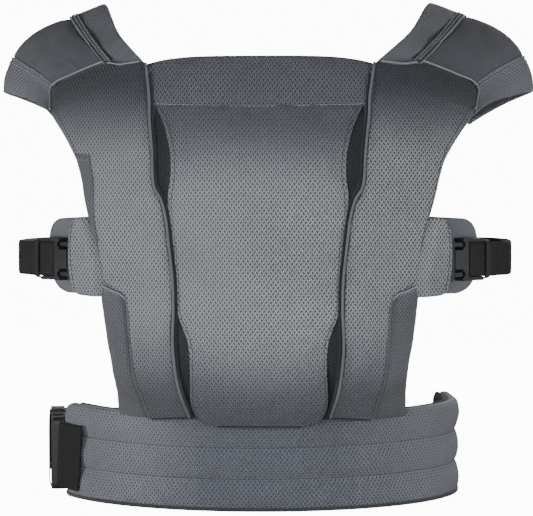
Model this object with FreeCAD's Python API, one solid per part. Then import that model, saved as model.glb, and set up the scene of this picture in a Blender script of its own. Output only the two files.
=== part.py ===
import FreeCAD, Part
import math
import os
from FreeCAD import Placement, Rotation, Vector

# Soft structured baby carrier with a padded front panel, padded shoulder straps that cross
# at the back, side buckles and a padded waist belt. Millimetres. The front faces -Y,
# +X is the right of a front view, +Z is up. The origin is in the middle plane of the front
# panel, inside the waist opening, on the plane of the belt's lower hem.

# ---- driving sizes ----
BELT_HEIGHT = 72.0
BELT_OUTER = (157.0, 117.0)      # half width and half depth of the belt's outer face
BELT_MIDDLE_X = -7.5             # the fastened belt sits a little to the left of the panels
BELT_START, BELT_END = 201.0, 392.0   # where the padded belt starts and ends, in degrees
PANEL_TOP = 293.6                # the head support folds just above this height
HEAD_TOP = 327.0
FABRIC = 2.0                     # a quilted face fabric or a lining
PAD_LOW, PAD_HIGH = 3.0, 8.5     # panel padding above the form
PAD_DROP = 7.0                   # how much deeper a buckle pad's outer part lies
WING_BASE, WING_RISE = 5.0, 8.4  # a wing cover's lift at its inner edge, and its rise over the buckle
SIDE_WEBBING, WAIST_WEBBING = 25.0, 50.0
WEBBING_THICK = 1.6
SIDE_BUCKLE_HALF, WAIST_BUCKLE_HALF = 15.3, 28.0
SIDE_BUCKLE_THICK, WAIST_BUCKLE_THICK = 8.6, 11.0
SIDE_SCALE, WAIST_SCALE = 1.0, 1.5     # length of a buckle's parts along its axis
SIDE_BUCKLE_AT = (137.0, -119.1, 183.0)   # middle of the right socket's mouth
SIDE_BUCKLE_TURN = 40.0
WAIST_BUCKLE_AT = (-164.5, -3.0, 31.0)
WAIST_BUCKLE_TURN = 99.0
SPREAD = 9.0                     # how far a prong turns in when it is squeezed, in degrees

# ---- the rounded form of the wearer's chest with the pouch in front ----
# Each row: height, half width, front reach. A level section is a superellipse.
FORM = [(60, 150, 124), (80, 152, 138), (110, 157, 149), (150, 167, 155), (180, 174, 156),
        (220, 181, 154), (260, 187, 146), (300, 192, 133), (340, 197, 120)]
FORM_MIDDLE_Y = -25.0
ROUNDNESS = 2.2
TUCK_TOP, TUCK_BOTTOM, TUCK_DEPTH = 112.0, 74.0, 15.0   # the lower edge is drawn in to the belt

# ---- outlines on the right half, (x, z) from the bottom up ----
PIPING = [(50.7, 78), (55.5, 88), (58.1, 103), (59.7, 124), (58.8, 148), (59.2, 170), (61.6, 194),
          (63.7, 212), (67.2, 226), (72.9, 237), (74.5, 260), (76.9, 285), (77.4, 299), (80.6, 324.4)]
PANEL_EDGE = [(32, 68.5), (44, 73), (49.2, 82), (49, 104), (50, 123), (53, 136), (57.2, 148),
              (58.2, 170), (60.6, 194), (62.7, 212), (64, 226), (62.8, 243), (63.6, 260),
              (68, 278), (73, PANEL_TOP)]
SIDE_EDGE = [(78, 75), (81.4, 88), (87.4, 121), (90.7, 143), (92.5, 158), (97, 166), (106, 171),
             (113, 178), (116.4, 192), (120, 210), (124.4, 228), (127.4, 241), (132, 255),
             (142, 273.5), (150.7, 288)]
LEG_INNER = [(80, 74.5), (83.2, 88), (89.2, 121), (92.5, 143), (94.6, 158.5)]
LEG_OUTER = [(102.8, 74.5), (101, 86), (103.1, 102), (108.2, 135), (113, 165)]
LINER_EDGE = [(76, 74.5), (84, 110), (92, 160), (90, 210), (82, 260), (76, PANEL_TOP)]
HEAD_EDGE = [(73.2, PANEL_TOP + 1.2), (74.2, 305), (75.6, 316), (76.6, HEAD_TOP)]
WING_INNER = [(115, 159), (114.6, 178), (118, 194), (121.4, 208), (124.4, 217.5)]
WING_OUTER = [(132.4, 161), (133, 178), (133.2, 196), (133, 208), (132.8, 217.5)]
PAD_INNER = [(116, 158), (115.6, 178), (119, 194), (122.4, 208), (124.6, 214.5)]
PAD_OUTER = [(155, 158), (163, 168), (164.5, 184), (165, 199), (164, 214.5)]
FACING_INNER = [(113.4, 196), (116.2, 212), (117, 228), (117.6, 241), (121, 259)]
FACING_OUTER = [(117, 196), (121, 212), (124.8, 228), (127, 241), (132.6, 259)]

# ---- right shoulder strap, front seam to pad end: inner and outer edge points ----
STRAP = [((83, -128, 325), (155, -100, 289)), ((108, -62, 350), (174, -50, 300)),
         ((124, -5, 376), (203, -5, 308)), ((128, 50, 357), (184, 40, 300)),
         ((114, 75, 343), (160, 70, 285)), ((90, 92, 322), (138, 84, 262)),
         ((40, 108, 282), (78, 102, 225)), ((-21, 112, 246), (21, 110, 198)),
         ((-70, 102, 223), (-50, 106, 173)), ((-116, 83, 202), (-114, 84, 166))]
CAP_END, BACK_START = 0.44, 0.445     # where the cap stops and the back strap starts
INNER_BAND, CAP_FROM, CAP_TO = 0.27, 0.285, 0.785    # shares of the strap's width at the band seams
CROWN, CROWN_WAY = 18.0, (0.63, 0.78)  # rise of the strap over the shoulder, and its direction in x, z
CROSS_LIFT, CROSS_REACH = 11.0, 80.0  # the right strap passes behind the left one
LOOP_MIDDLE_Y, LOOP_ROOM = 119.8, 11.3
CAP_THICK, BACK_THICK, BAND_THICK = 9.0, 6.0, 5.0

# ---- webbing routes in plan, away from the ladder ----
SIDE_ROUTE = [(166.2, -94.6), (173, -88.5), (179.5, -79.5), (184, -64), (186, -35), (185, 0),
              (176, 32), (152, 64), (120, 83.5)]
WAIST_ROUTE = [(-173.4, 53), (-171, 72), (-154, 94), (-119, 112), (-66, 121), (-7, 122.5),
               (53, 115), (100.5, 92), (123, 66)]
WAIST_DROP = 6.0                 # how far the waist webbing hangs down behind
TAB_ROUTE = [(-138.0, -68.4), (-146.4, -59.0), (-154.0, -48.8), (-157.9, -42.6)]

NODES = {}


def mix(a, b, t):
    return a + (b - a) * t


def smoothstep(t):
    t = min(max(t, 0.0), 1.0)
    return t * t * (3 - 2 * t)


def lookup(rows, x):
    """The rows' values at x, by a cubic between neighbouring rows."""
    i = max(0, min(len(rows) - 2, sum(row[0] <= x for row in rows) - 1))
    low, high = rows[i], rows[i + 1]
    h = high[0] - low[0]
    t = (x - low[0]) / h

    def slope(j, k):
        a, b = rows[max(j - 1, 0)], rows[min(j + 1, len(rows) - 1)]
        return (b[k] - a[k]) / (b[0] - a[0])

    return [(2 * t**3 - 3 * t**2 + 1) * low[k] + (t**3 - 2 * t**2 + t) * h * slope(i, k)
            + (3 * t**2 - 2 * t**3) * high[k] + (t**3 - t**2) * h * slope(i + 1, k)
            for k in range(1, len(low))]


def curve(points, t):
    """Point at t, from 0 to 1, on the smooth curve through the points."""
    last = len(points) - 1
    place = min(max(t, 0.0), 1.0) * last
    i = min(int(place), last - 1)
    f = place - i
    p, q = points[i], points[i + 1]
    before = points[i - 1] if i else tuple(2 * a - b for a, b in zip(p, q))
    after = points[i + 2] if i + 2 <= last else tuple(2 * a - b for a, b in zip(q, p))
    return tuple(0.5 * (2 * b + (c - a) * f + (2 * a - 5 * b + 4 * c - d) * f * f
                        + (3 * b - a - 3 * c + d) * f**3)
                 for a, b, c, d in zip(before, p, q, after))


def form_angle(x, z, lift=PAD_HIGH):
    """Angle round the form of a point x wide of the middle at height z."""
    half = lookup(FORM, z)[0] + lift
    return math.copysign(math.asin(min(abs(x) / half, 1.0) ** (ROUNDNESS / 2)), x)


def form_point(angle, z, lift):
    """Point on the form at an angle and height, lifted off its surface."""
    half, front = lookup(FORM, z)
    power = 2 / ROUNDNESS
    x = math.copysign((half + lift) * abs(math.sin(angle)) ** power, angle)
    y = FORM_MIDDLE_Y - (front + FORM_MIDDLE_Y + lift) * math.cos(angle) ** power
    return Vector(x, y, z)


def tuck(z):
    """How far a lower edge is drawn back to meet the belt."""
    return -TUCK_DEPTH * smoothstep((TUCK_TOP - z) / (TUCK_TOP - TUCK_BOTTOM))


def slab(low, high):
    """Closed solid between two grids of points: a smooth face through each, and ruled sides."""
    surfaces = []
    for grid in (low, high):
        surface = Part.BSplineSurface()
        surface.interpolate(grid)
        surfaces.append(surface)
    faces = [surface.toShape() for surface in surfaces]
    rims = []
    for surface in surfaces:
        u0, u1, v0, v1 = surface.bounds()
        rims.append([surface.uIso(u0), surface.uIso(u1), surface.vIso(v0), surface.vIso(v1)])
    faces += [Part.makeRuledSurface(a.toShape(), b.toShape()) for a, b in zip(*rims)]
    shell = Part.makeShell(faces)
    shell.sewShape()
    solid = Part.makeSolid(shell)
    if solid.Volume < 0:
        solid.reverse()
    return solid


def panel(side, inner, outer, low, high, rows, columns=7):
    """Padded piece on the form between two outlines; low and high give its lift at (t, z)."""
    grids = ([], [])
    for i in range(rows):
        t = i / (rows - 1)
        (xa, za), (xb, zb) = curve(inner, t), curve(outer, t)
        a, b = form_angle(xa, za), form_angle(xb, zb)
        lines = ([], [])
        for j in range(columns):
            u = j / (columns - 1)
            z = mix(za, zb, u)
            for line, lift in zip(lines, (low, high)):
                line.append(form_point(side * mix(a, b, u), z, lift(u, z)))
        for grid, line in zip(grids, lines):
            grid.append(line)
    return slab(*grids)


def flat_lift(value):
    return lambda u, z: value


def strap_rib(side, t):
    inner, outer = curve([rib[0] for rib in STRAP], t), curve([rib[1] for rib in STRAP], t)
    return [Vector(side * x, y, z) for x, y, z in (inner, outer)]


def strap_crown(t, across):
    """Rise of the strap's middle where it goes over the shoulder."""
    window = smoothstep(t / 0.2) * (1 - smoothstep((t - 0.3) / 0.3))
    share = min(max(across, 0.0), 1.0)
    return CROWN * window * max(math.sin(math.pi * share ** 1.5), 0.0) ** 0.8


def strap_surface(side, t, across):
    """Point on a strap's outer face: t runs from the front seam to the pad end."""
    inner, outer = strap_rib(side, t)
    rise = strap_crown(t, across)
    point = inner + (outer - inner) * across + Vector(side * CROWN_WAY[0], 0, CROWN_WAY[1]) * rise
    if side > 0 and point.y > 80:
        point.y += CROSS_LIFT * smoothstep((1.6 * CROSS_REACH - abs(point.x)) / CROSS_REACH)
    return point


def strap_normal(side, t, across):
    step = 0.004
    along = strap_surface(side, t + step, across) - strap_surface(side, t - step, across)
    over = strap_surface(side, t, across + step) - strap_surface(side, t, across - step)
    return along.cross(over).normalize() * -side


def strap_piece(side, start, end, inner, outer, low, high, rows, columns=4):
    """Length of a strap from start to end, between two shares of its width."""
    grids = ([], [])
    for i in range(rows):
        t = mix(start, end, i / (rows - 1))
        lines = ([], [])
        for j in range(columns):
            across = mix(inner, outer, j / (columns - 1))
            point, normal = strap_surface(side, t, across), strap_normal(side, t, across)
            for line, offset in zip(lines, (low, high)):
                line.append(point + normal * offset)
        for grid, line in zip(grids, lines):
            grid.append(line)
    return slab(*grids)


def plan_ribbon(route, side, middle, width, thick, rows, drop=0.0):
    """Upright webbing along a route in plan, hanging down by drop half way along."""
    grids = ([], [])
    for i in range(rows):
        t = i / (rows - 1)
        ahead, behind = curve(route, min(t + 0.01, 1.0)), curve(route, max(t - 0.01, 0.0))
        way = Vector(side * (ahead[0] - behind[0]), ahead[1] - behind[1], 0).normalize()
        normal = Vector(-way.y, way.x, 0)
        x, y = curve(route, t)
        for grid, share in zip(grids, (-0.5, 0.5)):
            foot = Vector(side * x, y, middle - drop * smoothstep(4 * t) * smoothstep(4 - 4 * t))
            foot += normal * (share * thick)
            grid.append([foot + Vector(0, 0, k * width / 2) for k in (-1, 0, 1)])
    return slab(*grids)


def belt_band(inner_offset, outer_offset, bottom, top, start=BELT_START, end=BELT_END):
    """Part of the belt between two offsets in from its outer face, and two heights."""
    def arc(offset):
        ellipse = Part.Ellipse(Vector(BELT_MIDDLE_X, 0, bottom), BELT_OUTER[0] - offset, BELT_OUTER[1] - offset)
        return Part.ArcOfEllipse(ellipse, math.radians(start), math.radians(end)).toShape()
    outer, inner = arc(outer_offset), arc(inner_offset)
    ends = [Part.makeLine(outer.Vertexes[k].Point, inner.Vertexes[k].Point) for k in (0, 1)]
    wire = Part.Wire(Part.__sortEdges__([outer, ends[1], inner, ends[0]]))
    return Part.Face(wire).extrude(Vector(0, 0, top - bottom))


def block(s0, s1, y0, y1, z0, z1):
    return Part.makeBox(s1 - s0, y1 - y0, z1 - z0, Vector(s0, y0, z0))


def rounded(solid, radius, keep):
    """Fillet the edges that keep() picks."""
    return solid.makeFillet(radius, [edge for edge in solid.Edges if keep(edge)])


def runs_through(edge):
    """True for a straight edge through the buckle's thickness."""
    a, b = edge.Vertexes[0].Point, edge.Vertexes[-1].Point
    return abs(a.x - b.x) + abs(a.z - b.z) < 1e-6


# A buckle is made about its mouth: x runs out along the plug, y through its thickness.

def make_socket(half, thick, k):
    wall, side_wall = 1.6, 2.3 * k
    length = 22 * k
    body = rounded(block(-length - 5, -0.7, -thick / 2, thick / 2, -half, half), 3.0 * k, runs_through)
    inside = thick / 2 - wall
    body = body.cut(block(-length + 1, 1, -inside, inside, side_wall - half, half - side_wall))
    for sign in (-1, 1):
        low, high = sorted((sign * (half - side_wall - 1), sign * (half + 1)))
        body = body.cut(block(-19 * k, -7 * k, -inside, inside, low, high))
    slot = half - 2.6
    body = body.cut(block(-length - 3.4, -length - 1, -thick, thick, -slot, slot))
    for sign in (-1, 1):
        low, high = sorted((sign * (inside - 0.1), sign * thick))
        body = body.cut(block(-length - 6, -length + 0.5, low, high, -half - 1, half + 1))
    return body


def pivot_point(half, k):
    return 8.0 * k, half - 4.6 * k


def make_plug(half, thick, k, width):
    base = rounded(block(0.2, 29 * k, -thick / 2, thick / 2, -half, half), 2.0 * k, runs_through)
    s, z = pivot_point(half, k)
    for sign in (-1, 1):
        low, high = sorted((sign * (half - 8.4 * k), sign * (half + 1)))
        base = base.cut(block(-1, s, -thick, thick, low, high))
        pocket = Part.makeCylinder(2.3 * k, 2 * thick, Vector(s, -thick, sign * z), Vector(0, 1, 0))
        base = base.cut(pocket)
    slot = width / 2 + 0.4
    for start in (13.5, 21.0):
        base = base.cut(block(start * k, (start + 3.6) * k, -thick, thick, -slot, slot))
    thin = thick / 2 - 2.4
    for sign in (-1, 1):
        low, high = sorted((sign * thin, sign * thick))
        base = base.cut(block(13.5 * k, 30 * k, low, high, -slot, slot))
    guide = half - 12.5 * k
    reach = thick / 2 - 2.3
    return base.fuse(block(-19 * k, 1, -reach, reach, -guide, guide)).removeSplitter()


def make_prong(half, thick, k, sign):
    """Spring arm: a round root in the plug, an arm, and a long shallow barb."""
    s, z = pivot_point(half, k)
    wall = half - 2.3 * k
    reach = thick / 2 - 2.3
    outline = [(s, z + 1.5 * k), (0, wall - 0.5 * k), (-8 * k, wall - 0.4 * k), (-11.5 * k, wall + 0.2 * k),
               (-15 * k, wall + 0.85 * k), (-18.2 * k, wall - 2.6 * k), (-18.2 * k, wall - 5.0 * k),
               (0, wall - 3.4 * k), (s, z - 1.5 * k)]
    points = [Vector(a, -reach, sign * b) for a, b in outline]
    arm = Part.Face(Part.makePolygon(points + points[:1])).extrude(Vector(0, 2 * reach, 0))
    root = Part.makeCylinder(1.7 * k, 2 * reach, Vector(s, -reach, sign * z), Vector(0, 1, 0))
    return arm.fuse(root).removeSplitter()


def make_webbing_loop(half, thick, k, width):
    """Webbing folded round the ladder's middle bar, with both ends lying past the end bar."""
    w = width / 2
    bar = thick / 2 - 2.4
    gap = 0.45
    low, high = 17.1 * k - gap, 21.0 * k + gap
    out = bar + gap + WEBBING_THICK
    outer = block(low - WEBBING_THICK, high + WEBBING_THICK, -out, out, -w, w)
    loop = outer.cut(block(low, high, -bar - gap, bar + gap, -w - 1, w + 1))
    for sign in (-1, 1):
        near, far = sorted((sign * (bar + gap), sign * out))
        loop = loop.fuse(block(high, 37 * k, near, far, -w, w))
    return loop.removeSplitter()


def make_keeper(half, thick, k, width):
    """Elastic keeper round the webbing, just past the ladder."""
    w = width / 2 + 0.6
    out = thick / 2 - 2.4 + 0.45 + WEBBING_THICK + 0.5
    ring = block(30.2 * k, 35 * k, -out - 1.2, out + 1.2, -w - 1.2, w + 1.2)
    return ring.cut(block(29 * k, 38 * k, -out, out, -w, w))


def settle(shape, at, turn):
    """Move a buckle piece from its own axes to its place."""
    placed = shape.copy()
    placed.Placement = Placement(Vector(*at), Rotation(Vector(0, 0, 1), turn))
    return placed


def buckle(name, at, turn, half, thick, k, width):
    NODES[name + "_buckle_socket"] = settle(make_socket(half, thick, k), at, turn)
    NODES[name + "_buckle_plug"] = settle(make_plug(half, thick, k, width), at, turn)
    NODES[name + "_webbing_loop"] = settle(make_webbing_loop(half, thick, k, width), at, turn)
    NODES[name + "_webbing_keeper"] = settle(make_keeper(half, thick, k, width), at, turn)
    for label, sign in (("upper", 1), ("lower", -1)):
        NODES[name + "_prong_" + label] = settle(make_prong(half, thick, k, sign), at, turn)


def mirror_edge(edge):
    return [(-x, z) for x, z in edge]


def wing_lift(base):
    """Lift of a wing cover: it rises off the form past its inner edge, over the buckle."""
    return lambda u, z: base + WING_RISE * smoothstep(3.4 * u)


def tucked(base):
    return lambda u, z: base + tuck(z)


def pad_lift(base):
    """Lift of a buckle pad: its outer part lies deeper, behind the webbing."""
    return lambda u, z: base - PAD_DROP * smoothstep(1.5 * u - 0.5)


def panels():
    NODES["body_liner"] = panel(1, mirror_edge(LINER_EDGE), LINER_EDGE,
                                tucked(0.0), tucked(FABRIC), 12, 11)
    NODES["body_panel"] = panel(1, mirror_edge(PANEL_EDGE), PANEL_EDGE,
                                flat_lift(PAD_LOW), flat_lift(PAD_HIGH), 22, 9)
    NODES["head_support"] = panel(1, mirror_edge(HEAD_EDGE), HEAD_EDGE,
                                  flat_lift(PAD_HIGH - FABRIC), flat_lift(PAD_HIGH), 5, 9)
    NODES["head_support_padding"] = panel(1, mirror_edge(HEAD_EDGE), HEAD_EDGE,
                                          flat_lift(PAD_LOW), flat_lift(PAD_HIGH - FABRIC - 0.2), 5, 9)
    for name, side in (("left", -1), ("right", 1)):
        NODES[name + "_side_panel"] = panel(side, PIPING, SIDE_EDGE, flat_lift(PAD_LOW),
                                            flat_lift(PAD_HIGH), 26)
        piped = [[(x + shift, z) for x, z in PIPING] for shift in (-1.6, 2.0)]
        NODES[name + "_piping"] = panel(side, *piped, flat_lift(PAD_HIGH + 0.3),
                                        flat_lift(PAD_HIGH + 3.0), 26, 3)
        NODES[name + "_leg_pad"] = panel(side, LEG_INNER, LEG_OUTER,
                                         tucked(1.0), tucked(8.0), 8, 5)
        NODES[name + "_wing_cover"] = panel(side, WING_INNER, WING_OUTER,
                                            wing_lift(WING_BASE), wing_lift(WING_BASE + FABRIC), 7, 9)
        NODES[name + "_buckle_pad"] = panel(side, PAD_INNER, PAD_OUTER, pad_lift(-5.0),
                                            pad_lift(-1.0), 7, 9)
    NODES["left_edge_facing"] = panel(-1, FACING_INNER, FACING_OUTER, flat_lift(PAD_HIGH + 0.3),
                                      flat_lift(PAD_HIGH + 1.8), 7, 4)


def straps():
    for name, side in (("left", -1), ("right", 1)):
        start = 0.008
        NODES[name + "_shoulder_inner_band"] = strap_piece(
            side, start, CAP_END, 0.0, INNER_BAND, -BAND_THICK, 0.0, 13, 5)
        NODES[name + "_shoulder_cap"] = strap_piece(
            side, start, CAP_END, CAP_FROM, CAP_TO, -CAP_THICK, 0.0, 13, 6)
        NODES[name + "_shoulder_outer_band"] = strap_piece(
            side, start, CAP_END, CAP_TO + 0.015, 1.0, -BAND_THICK, 0.0, 13, 5)
        NODES[name + "_back_strap"] = strap_piece(
            side, BACK_START, 1.0, 0.0, 1.0, -BACK_THICK, 0.0, 19, 6)
        NODES[name + "_strap_webbing"] = plan_ribbon(
            SIDE_ROUTE, side, SIDE_BUCKLE_AT[2], SIDE_WEBBING, WEBBING_THICK, 19)


def crossover_loop():
    """Flat loop on the left strap that the right strap passes through."""
    inner, outer = strap_rib(1, 7 / 9)
    across = (outer - inner)
    across.y = 0
    width = across.Length + 9
    across.normalize()
    band, gap = 30.0, LOOP_ROOM
    ring = block(-band / 2, band / 2, -gap / 2 - 1.4, gap / 2 + 1.4, -width / 2 - 1.4, width / 2 + 1.4)
    ring = ring.cut(block(-band, band, -gap / 2, gap / 2, -width / 2, width / 2))
    along = Vector(0, 1, 0).cross(across)
    middle = (inner + outer) * 0.5
    middle.y = LOOP_MIDDLE_Y
    ring.Placement = Placement(middle, Rotation(along, Vector(0, 1, 0), across, "XYZ"))
    NODES["crossover_loop"] = ring


def waist():
    channel = BELT_HEIGHT / 3
    NODES["waist_belt_cover"] = belt_band(FABRIC, 0.0, 0.0, BELT_HEIGHT)
    for row, name in enumerate(("lower", "middle", "upper")):
        NODES["waist_foam_" + name] = belt_band(9.8, FABRIC + 0.2, row * channel + 0.6,
                                                (row + 1) * channel - 0.6)
    NODES["waist_belt_lining"] = belt_band(12.0, 10.0, 0.0, BELT_HEIGHT)
    NODES["waist_hem_binding"] = belt_band(-1.2, -0.2, 0.0, 3.0, BELT_START + 8, BELT_END - 8)
    NODES["waist_tab"] = plan_ribbon(TAB_ROUTE, 1, WAIST_BUCKLE_AT[2], WAIST_WEBBING, WEBBING_THICK, 9)
    NODES["waist_webbing"] = plan_ribbon(WAIST_ROUTE, 1, WAIST_BUCKLE_AT[2], WAIST_WEBBING,
                                         WEBBING_THICK, 25, WAIST_DROP)
    half, thick = WAIST_BUCKLE_HALF, WAIST_BUCKLE_THICK
    elastic, slack = 1.0, 4.5
    loop = block(-20, -12, -thick / 2 - 1.8, thick / 2 + 1.8, -half - 1.6, half + slack)
    loop = loop.cut(block(-21, -11, -thick / 2 - 1.8 + elastic, thick / 2 + 1.8 - elastic,
                          -half - 1.6 + elastic, half + slack - elastic))
    NODES["safety_loop"] = settle(loop, WAIST_BUCKLE_AT, WAIST_BUCKLE_TURN)


def build():
    panels()
    straps()
    crossover_loop()
    waist()
    x, y, z = SIDE_BUCKLE_AT
    side_sizes = (SIDE_BUCKLE_HALF, SIDE_BUCKLE_THICK, SIDE_SCALE, SIDE_WEBBING)
    buckle("right", SIDE_BUCKLE_AT, SIDE_BUCKLE_TURN, *side_sizes)
    buckle("left", (-x, y, z), 180 - SIDE_BUCKLE_TURN, *side_sizes)
    buckle("waist", WAIST_BUCKLE_AT, WAIST_BUCKLE_TURN, WAIST_BUCKLE_HALF, WAIST_BUCKLE_THICK,
           WAIST_SCALE, WAIST_WEBBING)
    os.makedirs("parts", exist_ok=True)
    for name, shape in NODES.items():
        shape.exportStep("parts/" + name + ".step")
        box = shape.BoundBox
        print(f"{name:28s} {shape.isValid()!s:6} {len(shape.Solids)} {shape.Volume:10.0f}  "
              f"x {box.XMin:7.1f} {box.XMax:7.1f}  y {box.YMin:7.1f} {box.YMax:7.1f}  "
              f"z {box.ZMin:6.1f} {box.ZMax:6.1f}")


build()
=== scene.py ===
import math

import bpy
import numpy as np
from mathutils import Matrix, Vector


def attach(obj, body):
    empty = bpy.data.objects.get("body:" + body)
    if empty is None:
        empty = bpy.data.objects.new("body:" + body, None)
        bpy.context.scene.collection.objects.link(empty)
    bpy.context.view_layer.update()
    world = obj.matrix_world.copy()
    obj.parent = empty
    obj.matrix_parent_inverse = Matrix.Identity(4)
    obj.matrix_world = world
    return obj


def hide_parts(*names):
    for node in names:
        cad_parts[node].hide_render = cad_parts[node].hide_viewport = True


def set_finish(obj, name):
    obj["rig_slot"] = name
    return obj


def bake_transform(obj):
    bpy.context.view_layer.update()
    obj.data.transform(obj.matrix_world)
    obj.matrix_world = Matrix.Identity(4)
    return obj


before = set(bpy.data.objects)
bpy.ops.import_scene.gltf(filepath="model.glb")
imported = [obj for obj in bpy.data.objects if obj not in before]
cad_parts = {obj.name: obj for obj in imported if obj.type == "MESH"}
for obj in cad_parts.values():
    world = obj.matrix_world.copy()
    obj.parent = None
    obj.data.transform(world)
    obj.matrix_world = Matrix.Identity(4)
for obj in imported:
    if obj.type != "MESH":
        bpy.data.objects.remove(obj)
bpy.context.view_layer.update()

bl_info = {
    "name": "Soft baby carrier",
    "version": (1, 0, 0),
    "blender": (4, 5, 0),
    "location": "3D View > Sidebar > Carrier",
    "description": "Makes the fabric, padding, webbing and finishes of a soft baby carrier round its frame",
    "category": "Object",
}

# ---- the form and outlines of the carrier, in millimetres ----
# Front faces -Y, +X is the right of a front view, and z is 0 at the belt's hem.

MM = 0.001
FORM = np.array([
    (60, 150, 124), (80, 152, 138), (110, 157, 149), (150, 167, 155), (180, 174, 156),
    (220, 181, 154), (260, 187, 146), (300, 192, 133), (340, 197, 120)], float)
FORM_MIDDLE_Y, ROUNDNESS = -25.0, 2.2
TUCK_TOP, TUCK_BOTTOM, TUCK_DEPTH = 112.0, 74.0, 15.0
PAD_LOW, PAD_HIGH = 3.0, 8.5
PANEL_TOP, HEAD_TOP = 293.6, 329.0
BELT_HEIGHT, BELT_ACROSS, BELT_DEEP = 72.0, 157.0, 117.0
BELT_START, BELT_END, BELT_MIDDLE_X, BELT_LENGTH = 201.0, 378.0, -7.5, 422.0

PIPING = [(50, 69.5), (55.5, 87), (58.1, 103), (59.7, 124), (58.8, 148), (59.2, 170), (61.6, 194),
          (63.7, 212), (67.2, 226), (72.9, 237), (74.5, 260), (76.9, 285), (77.4, 299), (80.6, 324.4)]
PANEL_EDGE = [(32, 63.5), (44, 67.5), (49.8, 80), (49.4, 104), (50, 123), (54, 136), (58.3, 148),
              (59.4, 170), (61.8, 194), (63.9, 212), (65, 226), (62.8, 243), (63.6, 260),
              (68, 278), (75.5, PANEL_TOP + 0.4)]
SIDE_EDGE = [(82, 66.8), (86, 83), (90.4, 97.5), (92.4, 119.5), (93.6, 134), (95.6, 156.5), (104.6, 162),
             (113, 167), (115.6, 177), (117.6, 191), (120.8, 208), (125.2, 223), (128.6, 237),
             (133, 254), (142, 273.5), (150.7, 288)]
LEG_INNER = [(83, 67), (87, 84), (91.4, 102), (93.6, 130), (95.4, 150), (96, 160)]
LEG_OUTER = [(108, 66.5), (107.4, 84), (108, 101), (112.3, 130), (114.8, 153), (116.3, 170)]
LINER_EDGE = [(76, 66.5), (84, 108), (92, 160), (90, 210), (82, 260), (77, PANEL_TOP + 2)]
HEAD_EDGE = [(78.4, PANEL_TOP - 0.8), (80, 305), (81.6, 316), (82.6, HEAD_TOP)]
WING_INNER = [(111, 156.5), (110.6, 175), (114.4, 192), (118, 205), (121, 213)]
WING_OUTER = [(128.5, 158), (131.8, 172), (132.6, 188), (131.4, 202), (128, 213.4)]
BUCKLE_PAD_INNER = [(116, 158), (115.6, 178), (119, 194), (122.4, 208), (124.6, 214.5)]
BUCKLE_PAD_OUTER = [(158, 157), (167, 167), (168.5, 184), (168.5, 200), (163, 212.5)]
FACING_INNER = [(113.4, 196), (116.2, 212), (117, 228), (117.6, 241), (121, 259)]
FACING_OUTER = [(117, 196), (121, 212), (124.8, 228), (127, 241), (132.6, 259)]
STRAP_INNER = [(83, -128, 325), (108, -62, 350), (124, -5, 376), (128, 50, 357), (114, 75, 343),
               (90, 92, 322), (40, 108, 282), (-21, 112, 246), (-70, 102, 223), (-116, 83, 202)]
STRAP_OUTER = [(155, -100, 289), (174, -50, 300), (203, -5, 308), (184, 40, 300), (160, 70, 285),
               (138, 84, 262), (78, 102, 225), (21, 110, 198), (-50, 106, 173), (-114, 84, 166)]
CROSS_LIFT, CROSS_REACH = 11.0, 80.0
CROWN, CROWN_WAY = 18.0, (0.63, 0.0, 0.78)
CAP_FROM, CAP_TO = 0.285, 0.785
CAP_SEAM = [(0.0, 0.0), (0.187, 0.026), (0.288, 0.059), (0.458, 0.066), (0.609, 0.072), (0.726, 0.081),
            (0.799, 0.083), (0.853, 0.075), (0.93, 0.04), (1.0, 0.0)]
CAP_END, BACK_START, CAP_RISE = 0.442, 0.428, 3.0
SIDE_ROUTE = [(166.2, -94.6), (173, -88.5), (179.5, -79.5), (184, -64), (186, -35), (185, 0),
              (176, 32), (152, 62), (121, 80.3), (107, 84.5)]
WAIST_ROUTE = [(-173.4, 53), (-171, 72), (-154, 94), (-119, 112), (-66, 121), (-7, 122.5),
               (53, 115), (100.5, 92), (123, 65.5), (134.5, 46.5), (140.5, 30)]
WAIST_DROP, PAD_DROP = 6.0, 1.5
# How far the feet of the side and front panels are moved back, at either end of them.
FOOT, PANEL_FOOT = (10.0, 10.0), (4.5, 4.5)
TAB_ROUTE = [(-138.0, -68.4), (-146.4, -59.0), (-154.0, -48.8), (-157.9, -42.6)]
SIDES = (("left", -1), ("right", 1))
# Painted shade towards the tops and feet of the panels and the belt's middle: axis, from and to along it in
# metres, and the share it darkens.
FRONT_PAINTED_SHADE = ((2, 0.23, 0.285, 0.68), (2, 0.135, 0.074, 0.72))
SIDE_PAINTED_SHADE = ((2, 0.25, 0.315, 0.92), (2, 0.15, 0.078, 0.68))
# The dark tint that the painted shade blends towards.
PAINTED_SHADE_TINT = (0.1, 0.12, 0.17)
BELT_PAINTED_SHADE = ((0, -0.1, -0.03, 0.52), (0, 0.13, 0.035, 0.48))
# Each buckle: middle of its mouth, turn, thickness, length scale and webbing width.
BUCKLES = {
    "right": ((137.0, -119.1, 183.0), 40.0, 8.6, 1.0, 25.0),
    "left": ((-137.0, -119.1, 183.0), 140.0, 8.6, 1.0, 25.0),
    "waist": ((-164.5, -3.0, 31.0), 99.0, 11.0, 1.5, 50.0),
}
# Out along a plug, for a length scale of 1: its ladder's bar, the webbing's loop round it, the
# folded tail, the keeper, and where the webbing's own body ends.
BAR_SPAN, LOOP_SPAN, FOLD_SPAN, KEEPER_AT, JOIN_AT = (17.1, 21.0), (36.0, 38.5), (33.6, 38.6), 32.0, 38.0
WEBBING_THICK, SPIN = 1.5, 6.2832
# Rows close to a long seam, where the puckers are.
FINE_ROWS = (0, 0.003, 0.009, 0.018)


# ---- curves and surfaces ----

def mix(a, b, t):
    return a + (b - a) * t


def smoothstep(t):
    """3t^2 - 2t^3 between 0 and 1, level outside."""
    t = np.clip(t, 0.0, 1.0)
    return t * t * (3 - 2 * t)


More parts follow.
